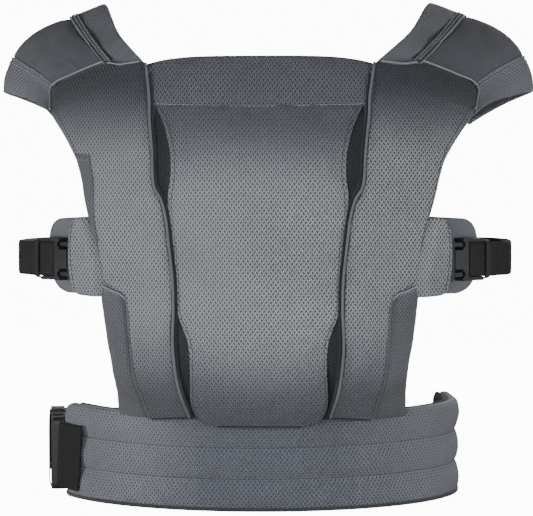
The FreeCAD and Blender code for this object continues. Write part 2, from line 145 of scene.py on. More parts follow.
def flow(points, t):
    """Smooth curve through points at shares t of the way: the cubic whose slope at each point
    is half the step between its neighbours, with the end steps repeated."""
    p = np.asarray(points, float)
    p = np.vstack([2 * p[:1] - p[1:2], p, 2 * p[-1:] - p[-2:-1]])
    place = np.clip(t, 0, 1) * (len(points) - 1)
    i = np.minimum(place.astype(int), len(points) - 2)
    f = (place - i)[..., None]
    a, b, c, d = p[i], p[i + 1], p[i + 2], p[i + 3]
    return 0.5 * (2 * b + (c - a) * f + (2 * a - 5 * b + 4 * c - d) * f**2
                  + (3 * b - a - 3 * c + d) * f**3)


def form_size(z):
    """Half width and front reach of the form at heights z: the cubic between neighbouring
    rows of FORM, each row's slope being the step between its two neighbours over their gap."""
    n = len(FORM)
    before, after = np.maximum(np.arange(n) - 1, 0), np.minimum(np.arange(n) + 1, n - 1)
    slope = (FORM[after] - FORM[before]) / (FORM[after, :1] - FORM[before, :1])
    z = np.asarray(z, float)
    i = np.clip(np.searchsorted(FORM[:, 0], z, side="right") - 1, 0, n - 2)
    gap = FORM[i + 1, 0] - FORM[i, 0]
    t = (z - FORM[i, 0]) / gap
    parts = [(2 * t**3 - 3 * t**2 + 1) * FORM[i, k] + (t**3 - 2 * t**2 + t) * gap * slope[i, k]
             + (3 * t**2 - 2 * t**3) * FORM[i + 1, k] + (t**3 - t**2) * gap * slope[i + 1, k]
             for k in (1, 2)]
    return parts[0], parts[1]


def form_angle(x, z):
    """Angle round the form of a point x wide of the middle: the arcsine of the share of the
    half width that x is, to the power of half the roundness."""
    half, _ = form_size(z)
    share = np.minimum(np.abs(x) / (half + PAD_HIGH), 1.0)
    return np.copysign(np.arcsin(share ** (ROUNDNESS / 2)), x)


def form_point(angle, z, lift):
    """Point of the form, lifted off it: a superellipse at each height, x by the sine and y by
    the cosine of the angle, each to the power two over the roundness."""
    half, front = form_size(z)
    power = 2 / ROUNDNESS
    x = np.copysign((half + lift) * np.abs(np.sin(angle)) ** power, angle)
    y = FORM_MIDDLE_Y - (front + FORM_MIDDLE_Y + lift) * np.abs(np.cos(angle)) ** power
    return np.stack([x, y, z + 0 * x], -1)


def tuck(z):
    """How far the lower edge is drawn back to the belt: a smooth step down to TUCK_DEPTH."""
    return -TUCK_DEPTH * smoothstep((TUCK_TOP - z) / (TUCK_TOP - TUCK_BOTTOM))


def on_form(side, inner, outer, tucked=0.0, wing=0.0, drop=0.0, sunk=(0.0, 0.0)):
    """Surface between two outlines: u is the share of the angle from inner to outer, t the
    share of the way up both. The lift is added to the tuck, to a wing's rise and to the drop of
    a buckle pad's outer part. The foot is moved back to the belt by sunk, given at u 0 and 1."""
    def place(u, t, lift):
        a, b = flow(inner, t), flow(outer, t)
        angle = mix(form_angle(a[..., 0], a[..., 1]), form_angle(b[..., 0], b[..., 1]), u)
        z = mix(a[..., 1], b[..., 1], u)
        rise = wing * smoothstep(4.2 * u + 0.16) - drop * smoothstep(1.5 * u - 0.5)
        points = form_point(side * angle, z, lift + tucked * tuck(z) + rise)
        points[..., 1] += mix(sunk[0], sunk[1], u) * smoothstep((104 - z) / 32)
        return points
    return place


def cornered(place, width, height, radius):
    """A surface whose two corners at its outer edge are rounded: near that edge its height
    closes in by a quarter circle."""
    def rounded(u, t, lift):
        near = width * (1 - u)
        closing = radius - np.sqrt(np.maximum(radius**2 - np.maximum(radius - near, 0) ** 2, 0))
        return place(u, 0.5 + (t - 0.5) * (1 - 2 * closing / height), lift)
    return rounded


def strap_crown(t, across):
    """Rise of the strap over the shoulder: across it a skewed half sine to the power 0.8,
    along it a smooth step up from the front seam and down behind the shoulder."""
    window = smoothstep(t / 0.2) * (1 - smoothstep((t - 0.3) / 0.3))
    share = np.clip(across, 0.0, 1.0)
    return CROWN * window * np.maximum(np.sin(math.pi * share ** 1.5), 0.0) ** 0.8


def strap_point(side, t, across):
    """Point of a shoulder strap's outer face: a line between its two edge curves, crowned.
    The right strap is pushed back by a smooth step where it passes over the left one."""
    p = mix(flow(STRAP_INNER, t), flow(STRAP_OUTER, t), across[..., None])
    p = p + np.array(CROWN_WAY) * strap_crown(t, across)[..., None]
    if side > 0:
        behind = p[..., 1] > 80
        p[..., 1] += behind * CROSS_LIFT * smoothstep((1.6 * CROSS_REACH - np.abs(p[..., 0])) / CROSS_REACH)
    p[..., 0] *= side
    return p


def strap_normal(side, t, across):
    """Outward normal of the strap: the cross product of its two slopes, by small steps, with the
    sign of the side, since a mirrored strap turns the product over."""
    h = 0.004
    along = strap_point(side, t + h, across) - strap_point(side, t - h, across)
    over = strap_point(side, t, across + h) - strap_point(side, t, across - h)
    normal = np.cross(along, over)
    return -side * normal / np.linalg.norm(normal, axis=-1, keepdims=True)


def on_strap(side, start, end, inner, outer, rise=0.0):
    """Surface on a strap between shares inner and outer of its width. start gives where each
    line across it begins, as a function of that share. The lift grows smoothly by rise."""
    def place(u, t, lift):
        across = mix(inner, outer, u)
        way = mix(start(across), end, t)
        lift = np.asarray(lift + rise * smoothstep(6 * t) + 0 * across)[..., None]
        return strap_point(side, way, across) + strap_normal(side, way, across) * lift
    return place


def cap_seam(across):
    """Where the seam at the top of the side panel crosses the strap, by straight steps."""
    rows = np.array(CAP_SEAM)
    return np.interp(across, rows[:, 0], rows[:, 1])


def side_panel_place(side):
    """The side panel follows the form up to the strap, then the strap up to the curved seam.
    The last tenth of the form is moved smoothly to meet the strap's first line."""
    join = 0.88
    body = on_form(side, PIPING, SIDE_EDGE, sunk=FOOT)

    def strap(u, share, lift):
        across = np.clip(u, 0.0, 1.0)
        way = share * cap_seam(across)
        return strap_point(side, way, across) \
            + strap_normal(side, way, across) * (lift - PAD_HIGH)[..., None]

    def place(u, t, lift):
        u, t, lift = np.broadcast_arrays(u, t, np.asarray(lift, float))
        low = np.minimum(t / join, 1.0)
        step = strap(u, 0 * t, lift) - body(u, 0 * t + 1.0, lift)
        below = body(u, low, lift) + smoothstep((low - 0.82) / 0.18)[..., None] * step
        above = strap(u, np.clip((t - join) / (1 - join), 0, 1), lift)
        return np.where((t <= join)[..., None], below, above)
    return place


def on_belt(u, t, lift):
    """The belt: an ellipse in plan, u from its left end round the front to its right end, t up
    its height. Near each end its height closes in by a quarter circle, for rounded corners. The top
    edge dips smoothly in front and lifts at the right end."""
    angle = np.radians(mix(BELT_START, BELT_END, u))
    corner = 11.0
    near = np.minimum(u, 1 - u) * BELT_LENGTH
    closing = corner - np.sqrt(np.maximum(corner**2 - np.maximum(corner - near, 0) ** 2, 0))
    z = BELT_HEIGHT / 2 + (t - 0.5) * (BELT_HEIGHT - 2 * closing)
    z = z - 3.0 * t * np.exp(-((u - 0.36) / 0.24) ** 2) + 2.5 * t * smoothstep((u - 0.93) / 0.07)
    x = BELT_MIDDLE_X + (BELT_ACROSS + lift) * np.cos(angle)
    y = (BELT_DEEP + lift) * np.sin(angle)
    return np.stack([x, y, z + 0 * x], -1)


def steps(count, edge=(0.0, 0.006, 0.018, 0.036)):
    """Shares from 0 to 1, even in the middle and closer together at both ends."""
    edge = np.array(edge)
    middle = np.linspace(edge[-1], 1 - edge[-1], count)[1:-1]
    return np.concatenate([edge, middle, 1 - edge[::-1]])


def run_length(points, axis):
    """Length along the rows or columns of a grid of points, added up from its first."""
    gaps = np.linalg.norm(np.diff(points, axis=axis), axis=-1)
    start = np.zeros_like(np.take(gaps, [0], axis=axis))
    return np.concatenate([start, np.cumsum(gaps, axis=axis)], axis=axis)


def ripple(s, seed, lengths=(11.0, 17.0, 29.0)):
    """Sum of three sines along s with seeded phases, between about -1 and 1."""
    phase = np.random.default_rng(seed).uniform(0, 2 * math.pi, len(lengths))
    return sum(np.sin(2 * math.pi * s / size + p) for size, p in zip(lengths, phase)) / len(lengths)


def form_cloth(points):
    """Cloth coordinates on the form in millimetres: distance round it from the middle, from
    the angle of each point, and height."""
    x, z = points[..., 0], points[..., 2]
    half, _ = form_size(np.clip(z, 60, 340))
    angle = np.linspace(0, math.pi / 2, 200)
    ring = form_point(angle, 0 * angle + 200, PAD_HIGH)
    length = run_length(ring, 0)
    at = np.interp(np.abs(form_angle(x, np.clip(z, 60, 340))), angle, length)
    return np.stack([np.sign(x) * at * half / form_size(200.0)[0], z], -1)


# ---- putting shapes into Blender ----

def add_piece(name, points, faces, corners, material, slot_name, outward=True):
    """A mesh from points in millimetres, quads, and cloth coordinates in millimetres at each
    corner. A closed shape whose volume comes out negative is turned the right way out."""
    if outward:
        p = points[faces]
        volume = np.einsum("ij,ij->i", p[:, 0] - points.mean(0),
                           np.cross(p[:, 2] - p[:, 0], p[:, 3] - p[:, 1])).sum()
        if volume < 0:
            faces, corners = faces[:, ::-1], corners[:, ::-1]
    mesh = bpy.data.meshes.new(name)
    mesh.from_pydata((points * MM).tolist(), [], faces.tolist())
    layer = mesh.uv_layers.new(name="cloth")
    layer.data.foreach_set("uv", (corners.reshape(-1) * MM).astype(np.float32))
    mesh.polygons.foreach_set("use_smooth", np.ones(len(mesh.polygons), bool))
    piece = bpy.data.objects.new(name, mesh)
    bpy.context.scene.collection.objects.link(piece)
    mesh.materials.append(material)
    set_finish(piece, slot_name)
    return piece


def grid_faces(rows, columns, wrap_rows=False, wrap_columns=False):
    """Quads of a grid of points numbered row by row, closed round either way if asked."""
    r = np.arange(rows if wrap_rows else rows - 1)[:, None]
    c = np.arange(columns if wrap_columns else columns - 1)[None, :]
    r1, c1 = (r + 1) % rows, (c + 1) % columns
    return np.stack([r * columns + c, r * columns + c1, r1 * columns + c1, r1 * columns + c],
                    -1).reshape(-1, 4)


class Pad:
    """A stuffed piece of two cloths sewn together round its border. Both cloths are grids on
    the surface place(u, t, lift). Each leaves the border by a quarter circle of radius roll
    and reaches its own lift; the front one also takes bulge(u, t, pad) in millimetres."""

    def __init__(self, place, across, along, low, high, roll, bulge=None, cloth=None):
        self.across, self.along = across, along
        u, t = np.meshgrid(across, along)
        middle = 0.5 * (low + high)
        flat = place(u, t, 0 * u + middle)
        side = run_length(flat, 1)
        rise = run_length(flat, 0)
        self.edge_u = np.minimum(side, side[:, -1:] - side)
        self.edge_t = np.minimum(rise, rise[-1:] - rise)
        edge = np.minimum(self.edge_u, self.edge_t)
        round_in = np.sqrt(1 - (1 - np.minimum(edge / roll, 1)) ** 2)
        extra = bulge(u, t, self) if bulge else 0.0
        self.front = place(u, t, middle + (high - middle + extra) * round_in)
        self.back = place(u, t, middle - (middle - low) * round_in)
        self.edge, self.shape = edge, u.shape
        if cloth:
            self.cloth = cloth(self.front)
        else:
            centre = side[:, side.shape[1] // 2][:, None]
            self.cloth = np.stack([side - centre, 0 * side + rise.mean(1)[:, None]], -1)

    def skin(self):
        """The finished front as a surface: straight steps between the lines of its grid, and
        the lift along the normals there."""
        rows, columns = self.shape
        count = rows * columns
        flat = np.empty(len(self.piece.data.vertices) * 3, np.float32)
        self.piece.data.vertices.foreach_get("co", flat)
        grid = flat.reshape(-1, 3)[:count].reshape(rows, columns, 3) / MM
        normal = np.cross(np.gradient(grid, axis=1), np.gradient(grid, axis=0))
        normal *= np.sign(np.einsum("ijk,ijk->", normal, self.front - self.back))
        normal /= np.maximum(np.linalg.norm(normal, axis=-1, keepdims=True), 1e-9)

        def place(u, t, lift):
            i = np.interp(t, self.along, np.arange(rows))
            j = np.interp(u, self.across, np.arange(columns))
            i0, j0 = np.minimum(i.astype(int), rows - 2), np.minimum(j.astype(int), columns - 2)
            fi, fj = (i - i0)[..., None], (j - j0)[..., None]
            both = np.concatenate([grid, normal], -1)
            near = mix(both[i0, j0], both[i0, j0 + 1], fj)
            found = mix(near, mix(both[i0 + 1, j0], both[i0 + 1, j0 + 1], fj), fi)
            return found[..., :3] + found[..., 3:] * np.asarray(lift)[..., None]
        return place

    def build(self, name, material, slot_name):
        rows, columns = self.shape
        count = rows * columns
        grid = np.arange(count).reshape(rows, columns)
        inside = np.zeros((rows, columns), bool)
        inside[1:-1, 1:-1] = True
        under = grid.copy()
        under[inside] = count + np.arange(inside.sum())
        points = np.concatenate([self.front.reshape(-1, 3), self.back[inside]])
        faces = grid_faces(rows, columns)
        cloth = self.cloth.reshape(-1, 2)[faces]
        below = under.reshape(-1)[faces][:, ::-1]
        piece = add_piece(name, points, np.concatenate([faces, below]),
                          np.concatenate([cloth, cloth[:, ::-1]]), material, slot_name)
        self.piece, self.is_back = piece, np.arange(len(points)) >= count
        self.point_edge = np.concatenate([self.edge.reshape(-1), self.edge[inside]])
        return piece


def swell(pad, pressure, cap, grow=0.02, held=None, back_cap=0.6):
    """Blows the pad up as cloth with its border and any held rows kept still. The cloth may
    grow a little, which wrinkles it along its seams. No point moves past its cap."""
    piece = pad.piece
    mesh = piece.data
    still = pad.point_edge < 1.2
    if held is not None:
        inside = np.zeros(pad.shape, bool)
        inside[1:-1, 1:-1] = True
        still |= np.concatenate([held.reshape(-1), held[inside]])
    group = piece.vertex_groups.new(name="sewn")
    group.add(np.flatnonzero(still).tolist(), 1.0, "REPLACE")
    cloth = piece.modifiers.new("Cloth", "CLOTH")
    rules = cloth.settings
    rules.vertex_group_mass = "sewn"
    rules.use_pressure = True
    rules.uniform_pressure_force = pressure
    rules.effector_weights.gravity = 0
    rules.shrink_min = -grow
    rules.quality = 6
    rules.tension_stiffness = 18
    rules.compression_stiffness = 14
    rules.bending_stiffness = 0.25
    scene = bpy.context.scene
    cloth.point_cache.frame_start, cloth.point_cache.frame_end = 1, 20
    for step in range(1, 21):
        scene.frame_set(step)
    shown = piece.evaluated_get(bpy.context.evaluated_depsgraph_get())
    after = np.empty(len(mesh.vertices) * 3, np.float32)
    shown.data.vertices.foreach_get("co", after)
    before = np.empty_like(after)
    mesh.vertices.foreach_get("co", before)
    moved = (after - before).reshape(-1, 3)
    reach = np.linalg.norm(moved, axis=1, keepdims=True)
    limit = np.where(pad.is_back, back_cap, cap)[:, None] * MM
    moved *= limit * np.tanh(reach / limit) / np.maximum(reach, 1e-9)
    piece.modifiers.remove(cloth)
    piece.vertex_groups.clear()
    mesh.vertices.foreach_set("co", before + moved.reshape(-1))
    mesh.update()
    scene.frame_set(1)
    return piece


def refine(piece):
    """Rounds the cloth off with one level of subdivision."""
    finish = piece.modifiers.new("Smooth cloth", "SUBSURF")
    finish.levels = finish.render_levels = 1
    return piece


def path_frames(path):
    """Unit steps along a path of points."""
    ahead = np.gradient(path, axis=0)
    return ahead / np.linalg.norm(ahead, axis=1, keepdims=True)


def carried(name, path, side, rise, profile, material, slot_name, closed=False):
    """A closed profile carried along a path. A profile point (a, b) lies a along side and b
    along rise at each point. Open paths end in a cap drawn in to the middle of the profile."""
    body = path[:, None] + side[:, None] * profile[None, :, :1] + rise[:, None] * profile[None, :, 1:]
    if not closed:
        ends = [body[i].mean(0) + (body[i] - body[i].mean(0)) * share
                for i, share in ((0, 0.02), (0, 0.6), (-1, 0.6), (-1, 0.02))]
        body = np.concatenate([[ends[0], ends[1]], body, [ends[2], ends[3]]])
    rows, columns = body.shape[:2]
    faces = grid_faces(rows, columns, wrap_rows=closed, wrap_columns=True)
    around = np.concatenate([profile[:, 0], profile[:1, 0]])
    length = run_length(body.mean(1), 0)
    length = np.concatenate([length, length[-1:] + np.linalg.norm(body[0].mean(0) - body[-1].mean(0))])
    r, c = np.divmod(np.arange(len(faces)), columns)
    cloth = np.stack([np.stack([around[c + right], length[r + down]], -1)
                      for right, down in ((0, 0), (1, 0), (1, 1), (0, 1))], 1)
    return add_piece(name, body.reshape(-1, 3), faces, cloth, material, slot_name)


def flat_profile(width, thick, count=9):
    """A flat band's section: the thickness falls off at each edge as the eighth power."""
    a = np.sin(np.linspace(-math.pi / 2, math.pi / 2, count)) * width / 2
    b = thick / 2 * np.sqrt(np.maximum(1 - np.abs(2 * a / width) ** 8, 0))
    return np.concatenate([np.stack([a, b], 1), np.stack([a, -b], 1)[-2:0:-1]])


def round_profile(radius, count=8):
    angle = np.linspace(0, 2 * math.pi, count, endpoint=False)
    return np.stack([np.cos(angle), np.sin(angle)], 1) * radius


def across_of(place, u, t, lift):
    """Points on a surface with its unit slopes and outward normal there."""
    lift = 0 * u + lift
    points = place(u, t, lift)
    out = place(u, t, lift + 0.5) - points
    along = path_frames(points)
    normal = out - np.einsum("ij,ij->i", out, along)[:, None] * along
    normal /= np.linalg.norm(normal, axis=1, keepdims=True)
    return points, along, normal


def cord_on(name, place, u, t, lift, radius, material, slot_name):
    """A round cord carried along a line of a surface."""
    points, along, normal = across_of(place, u, t, lift)
    return carried(name, points, np.cross(along, normal), normal, round_profile(radius), material, slot_name)


def band_on(name, place, u, t, lift, width, thick, material, slot_name):
    """A flat tape carried along a line of a surface."""
    points, along, normal = across_of(place, u, t, lift)
    return carried(name, points, np.cross(along, normal), normal, flat_profile(width, thick),
                   material, slot_name)


def stitches(name, lines, material, slot_name, pitch=3.2, length=2.3, radius=0.34, slant=0.0):
    """Sewn thread: one low capsule for each stitch, repeated every pitch along each line. A
    line is (place, u, t, lift). A slant turns every other stitch the other way, for zigzag."""
    ring = np.array([(-0.5, 0.3), (-0.36, 1.0), (0.36, 1.0), (0.5, 0.3)])
    turn = np.linspace(0, 2 * math.pi, 6, endpoint=False)
    all_points, all_faces, count = [], [], 0
    for place, u, t, lift in lines:
        path = place(u, t, 0 * u + lift)
        run = run_length(path, 0)
        number = max(int(run[-1] / pitch), 1)
        at = (np.arange(number) + 0.5) * run[-1] / number
        us, ts = np.interp(at, run, u), np.interp(at, run, t)
        points, along, normal = across_of(place, us, ts, lift)
        over = np.cross(along, normal)
        swing = slant * np.where(np.arange(number) % 2, 1, -1)[:, None]
        along = along + over * swing
        along /= np.linalg.norm(along, axis=1, keepdims=True)
        over = np.cross(along, normal)
        body = (points[:, None, None] + along[:, None, None] * (ring[:, 0] * length)[None, :, None, None]
                + (over[:, None, None] * np.cos(turn)[None, None, :, None]
                   + normal[:, None, None] * np.sin(turn)[None, None, :, None])
                * (ring[:, 1] * radius)[None, :, None, None])
        quads = grid_faces(4, 6, wrap_columns=True)
        first = np.array([[0, 3, 2, 1], [0, 5, 4, 3]])
        last = np.array([[18, 19, 20, 21], [18, 21, 22, 23]])
        one = np.concatenate([quads[:, ::-1], first[:, ::-1], last[:, ::-1]])
        faces = (one[None] + (np.arange(number) * 24)[:, None, None]).reshape(-1, 4)
        all_points.append(body.reshape(-1, 3))
        all_faces.append(faces + count)
        count += number * 24
    points, faces = np.concatenate(all_points), np.concatenate(all_faces)
    p = points[faces[:26]]
    volume = np.einsum("ij,ij->i", p[:, 0] - points[:24].mean(0),
                       np.cross(p[:, 2] - p[:, 0], p[:, 3] - p[:, 1])).sum()
    if volume < 0:
        faces = faces[:, ::-1]
    corners = points[faces][..., [0, 2]]
    return add_piece(name, points, faces, corners, material, slot_name, outward=False)


# ---- shader parts ----

class Wiring:
    """Adds nodes to a node tree and joins them."""

    def __init__(self, tree):
        self.tree = tree

    def node(self, kind, **settings):
        node = self.tree.nodes.new(kind)
        for key, value in settings.items():
            setattr(node, key, value)
        return node

    def join(self, value, socket):
        if isinstance(value, bpy.types.NodeSocket):
            self.tree.links.new(value, socket)
        elif value is not None:
            socket.default_value = value

    def sum(self, operation, *values, clamp=False):
        node = self.node("ShaderNodeMath", operation=operation, use_clamp=clamp)
        for value, socket in zip(values, node.inputs):
            self.join(value, socket)
        return node.outputs[0]

    def add(self, *values, **named):
        return self.sum("ADD", *values, **named)

    def take(self, *values):
        return self.sum("SUBTRACT", *values)

    def times(self, *values):
        return self.sum("MULTIPLY", *values)

    def over(self, *values):
        return self.sum("DIVIDE", *values)

    def range(self, value, low, high, to_low=0.0, to_high=1.0):
        node = self.node("ShaderNodeMapRange", interpolation_type="SMOOTHSTEP")
        for item, socket in zip((value, low, high, to_low, to_high), node.inputs):
            self.join(item, socket)
        return node.outputs[0]

    def blend(self, share, a, b):
        node = self.node("ShaderNodeMix", data_type="RGBA")
        self.join(share, node.inputs[0])
        self.join(a, node.inputs[6])
        self.join(b, node.inputs[7])
        return node.outputs[2]

    def noise(self, vector, scale, detail=2.0, roughness=0.5):
        node = self.node("ShaderNodeTexNoise")
        self.join(vector, node.inputs["Vector"])
        self.join(scale, node.inputs["Scale"])
        self.join(detail, node.inputs["Detail"])
        self.join(roughness, node.inputs["Roughness"])
        return node.outputs[0]

    def split(self, vector):
        node = self.node("ShaderNodeSeparateXYZ")
        self.join(vector, node.inputs[0])
        return node.outputs[0], node.outputs[1], node.outputs[2]


def shader_group(name, inputs, outputs, wire):
    """A named node group. inputs and outputs are rows of name, socket type and default."""
    tree = bpy.data.node_groups.new(name, "ShaderNodeTree")
    for row in inputs:
        socket = tree.interface.new_socket(row[0], in_out="INPUT", socket_type=row[1])
        if len(row) > 2:
            socket.default_value = row[2]
    for row in outputs:
        tree.interface.new_socket(row[0], in_out="OUTPUT", socket_type=row[1])
    wiring = Wiring(tree)
    taken = wiring.node("NodeGroupInput")
    given = wiring.node("NodeGroupOutput")
    results = wire(wiring, {s.name: s for s in taken.outputs if s.name})
    for key, value in results.items():
        wiring.join(value, given.inputs[key])
    return tree


def make_air_mesh(w, i):
    """Knit with holes: rows of ovals, every other row shifted by half a pitch. A hole's mask
    falls off smoothly with the oval's distance, and a thin ridge stands round it. The ovals
    lean one way in one row and the other way in the next."""
    x, y, _ = w.split(i["Vector"])
    row = w.over(y, i["Row pitch"])
    odd = w.sum("FLOORED_MODULO", w.sum("FLOOR", row), 2.0)
    column = w.add(w.over(x, i["Hole pitch"]), w.times(odd, 0.5))
    fx = w.times(w.take(w.sum("FRACT", column), 0.5),
               w.over(i["Hole pitch"], i["Hole width"]))
    fy = w.times(w.take(w.sum("FRACT", row), 0.5),
               w.over(i["Row pitch"], i["Hole height"]))
    lean = w.times(w.take(w.times(odd, 2.0), 1.0), i["Lean"])
    fx = w.add(fx, w.times(fy, lean))
    far = w.sum("SQRT", w.add(w.times(fx, fx), w.times(fy, fy)))
    hole = w.range(far, 0.2, 0.58, 1.0, 0.0)
    ridge = w.times(w.range(far, 0.5, 0.75), w.range(far, 0.75, 1.05, 1.0, 0.0))
    height = w.take(w.times(ridge, 0.35), hole)
    return {"Hole": hole, "Ridge": ridge, "Height": height}


def make_heather(w, i):
    """Mottled yarn: fine and broad noise shift the colour between a darker and a lighter yarn."""
    fine = w.noise(i["Vector"], i["Fine scale"], 3.0, 0.7)
    broad = w.noise(i["Vector"], 22.0, 2.0)
    share = w.add(w.times(w.take(fine, 0.5), i["Amount"]),
                  w.times(w.take(broad, 0.5), 0.5))
    share = w.add(share, 0.5, clamp=True)
    return {"Colour": w.blend(share, i["Dark yarn"], i["Light yarn"]), "Fine": fine}


def make_jersey(w, i):
    """Fine knit: two sets of slanting lines that lean apart in neighbouring columns."""
    x, y, _ = w.split(i["Vector"])
    column = w.over(x, i["Pitch"])
    lean = w.sum("PINGPONG", column, 0.5)
    line = w.sum("SINE", w.times(w.add(w.over(y, i["Pitch"]), lean), SPIN))
    groove = w.sum("COSINE", w.times(column, SPIN))
    return {"Height": w.add(w.times(line, 0.5), w.times(groove, 0.35))}


def make_webbing_weave(w, i):
    """Webbing: short ribs that run across it, stepped by half in every other column."""
    x, y, _ = w.split(i["Vector"])
    column = w.over(x, i["Pitch"])
    odd = w.sum("FLOORED_MODULO", w.sum("FLOOR", column), 2.0)
    rib = w.sum("SINE", w.times(w.add(w.over(y, i["Pitch"]),
                                                  w.times(odd, 0.5)), SPIN))
    round_over = w.sum("SINE", w.times(w.sum("FRACT", column), SPIN / 2))
    return {"Height": w.times(w.add(w.times(rib, 0.5), 0.5), round_over)}


def make_grain(w, i):
    """Moulded plastic: fine spark-eroded grain with broader flow marks."""
    fine = w.noise(i["Vector"], i["Scale"], 4.0, 0.6)
    broad = w.noise(i["Vector"], 60.0, 1.0)
    return {"Height": fine, "Sheen shift": broad}


VECTOR, FLOAT, COLOUR = "NodeSocketVector", "NodeSocketFloat", "NodeSocketColor"
GROUPS, MATERIALS = {}, {}


def make_groups():
    if GROUPS:
        return
    GROUPS["air mesh"] = shader_group("Air mesh knit", [
        ("Vector", VECTOR), ("Hole pitch", FLOAT, 0.0032), ("Row pitch", FLOAT, 0.00205),
        ("Hole width", FLOAT, 0.0014), ("Hole height", FLOAT, 0.0019), ("Lean", FLOAT, 0.7)],
        [("Hole", FLOAT), ("Ridge", FLOAT), ("Height", FLOAT)], make_air_mesh)
    GROUPS["heather"] = shader_group("Heathered yarn", [
        ("Vector", VECTOR), ("Fine scale", FLOAT, 900.0), ("Amount", FLOAT, 0.8),
        ("Dark yarn", COLOUR), ("Light yarn", COLOUR)],
        [("Colour", COLOUR), ("Fine", FLOAT)], make_heather)
    GROUPS["jersey"] = shader_group("Jersey knit", [("Vector", VECTOR), ("Pitch", FLOAT, 0.0011)],
                                    [("Height", FLOAT)], make_jersey)
    GROUPS["webbing"] = shader_group("Webbing weave", [("Vector", VECTOR), ("Pitch", FLOAT, 0.0016)],
                                     [("Height", FLOAT)], make_webbing_weave)
    GROUPS["grain"] = shader_group("Moulded grain", [("Vector", VECTOR), ("Scale", FLOAT, 1800.0)],
                                   [("Height", FLOAT), ("Sheen shift", FLOAT)], make_grain)


def placed_group(w, name, vector, **values):
    node = w.node("ShaderNodeGroup")
    node.node_tree = GROUPS[name]
    w.join(vector, node.inputs["Vector"])
    for key, value in values.items():
        w.join(value, node.inputs[key.replace("_", " ")])
    return node.outputs


def start_material(name, roughness, sheen=0.0, specular=0.35):
    material = bpy.data.materials.new(name)
    material.use_nodes = True
    w = Wiring(material.node_tree)
    shader = material.node_tree.nodes["Principled BSDF"]
    shader.inputs["Roughness"].default_value = roughness
    shader.inputs["Specular IOR Level"].default_value = specular
    shader.inputs["Sheen Weight"].default_value = sheen
    shader.inputs["Sheen Roughness"].default_value = 0.45
    coordinates = w.node("ShaderNodeTexCoord")
    return material, w, shader, coordinates.outputs


def bump(w, shader, height, depth, strength=1.0):
    node = w.node("ShaderNodeBump")
    node.inputs["Strength"].default_value = strength
    node.inputs["Distance"].default_value = depth
    w.join(height, node.inputs["Height"])
    w.join(node.outputs[0], shader.inputs["Normal"])


def tone(colour, factor):
    """A colour made lighter or darker by a factor, as a socket takes it."""
    return tuple(min(c * factor, 1.0) for c in colour[:3]) + (1.0,)


def made_once(make):
    """Makes each named material on its first use and hands the same one out later."""
    def find(name, *values, **named):
        make_groups()
        if name not in MATERIALS:
            MATERIALS[name] = make(name, *values, **named)
        return MATERIALS[name]
    return find


@made_once
def mesh_knit(name, colour, pitch, row, width, height, hole_depth=0.0009, hole_dark=0.08, fade=None):
    """Air mesh cloth: heathered yarn with dark holes. Each row of the painted shade is (axis, from,
    to, share): painted shade darkens the cloth by that share between those places."""
    material, w, shader, at = start_material(name, 0.82, 0.25)
    yarn = placed_group(w, "heather", at["Object"], Dark_yarn=tone(colour, 0.5),
                        Light_yarn=tone(colour, 1.62), Amount=1.5)
    knit = placed_group(w, "air mesh", at["UV"], Hole_pitch=pitch, Row_pitch=row, Hole_width=width,
                        Hole_height=height)
    base = w.blend(w.times(knit["Ridge"], 0.45), yarn["Colour"], tone(colour, 2.8))
    base = w.blend(w.times(knit["Hole"], 1 - hole_dark), base, tone(colour, 0.05))
    # Painted shade: between the given places the colour blends towards a dark tint, darker towards the
    # panels' tops and feet and the belt's middle.
    for axis, start, end, share in fade or ():
        shares = (0.0, share) if start < end else (share, 0.0)
        shade_share = w.range(w.split(at["Object"])[axis], min(start, end), max(start, end), *shares)
        base = w.blend(shade_share, base, tuple(c * f for c, f in zip(colour, PAINTED_SHADE_TINT)) + (1.0,))
    w.join(base, shader.inputs["Base Color"])
    bump(w, shader, w.add(knit["Height"], w.times(yarn["Fine"], 0.25)), hole_depth)
    return material


@made_once
def jersey_knit(name, colour, pitch=0.0011):
    """Smooth cloth: fine knit in heathered yarn, darker in its grooves."""
    material, w, shader, at = start_material(name, 0.85, 0.3)
    yarn = placed_group(w, "heather", at["Object"], Dark_yarn=tone(colour, 0.75),
                        Light_yarn=tone(colour, 1.28), Fine_scale=1300.0)
    knit = placed_group(w, "jersey", at["UV"], Pitch=pitch)
    base = w.blend(w.range(knit["Height"], -0.6, 0.8, 0.35, 0.0), yarn["Colour"], tone(colour, 0.45))
    w.join(base, shader.inputs["Base Color"])
    bump(w, shader, w.add(knit["Height"], w.times(yarn["Fine"], 0.6)), 0.00022)
    return material


@made_once
def webbing_cloth(name, colour, pitch=0.0016):
    """Webbing and elastic: woven ribs, darker between them."""
    material, w, shader, at = start_material(name, 0.62, 0.08, 0.4)
    weave = placed_group(w, "webbing", at["UV"], Pitch=pitch)
    yarn = placed_group(w, "heather", at["Object"], Dark_yarn=tone(colour, 0.7),
                        Light_yarn=tone(colour, 1.4))
    base = w.blend(w.range(weave["Height"], 0.0, 0.5, 0.6, 0.0), yarn["Colour"], tone(colour, 0.3))
    w.join(base, shader.inputs["Base Color"])
    bump(w, shader, weave["Height"], 0.0003)
    return material


@made_once
def thread(name, colour):
    """Sewing thread in heathered yarn."""
    material, w, shader, at = start_material(name, 0.6, 0.1)
    yarn = placed_group(w, "heather", at["Object"], Dark_yarn=tone(colour, 0.8),
                        Light_yarn=tone(colour, 1.2))
    w.join(yarn["Colour"], shader.inputs["Base Color"])
    return material


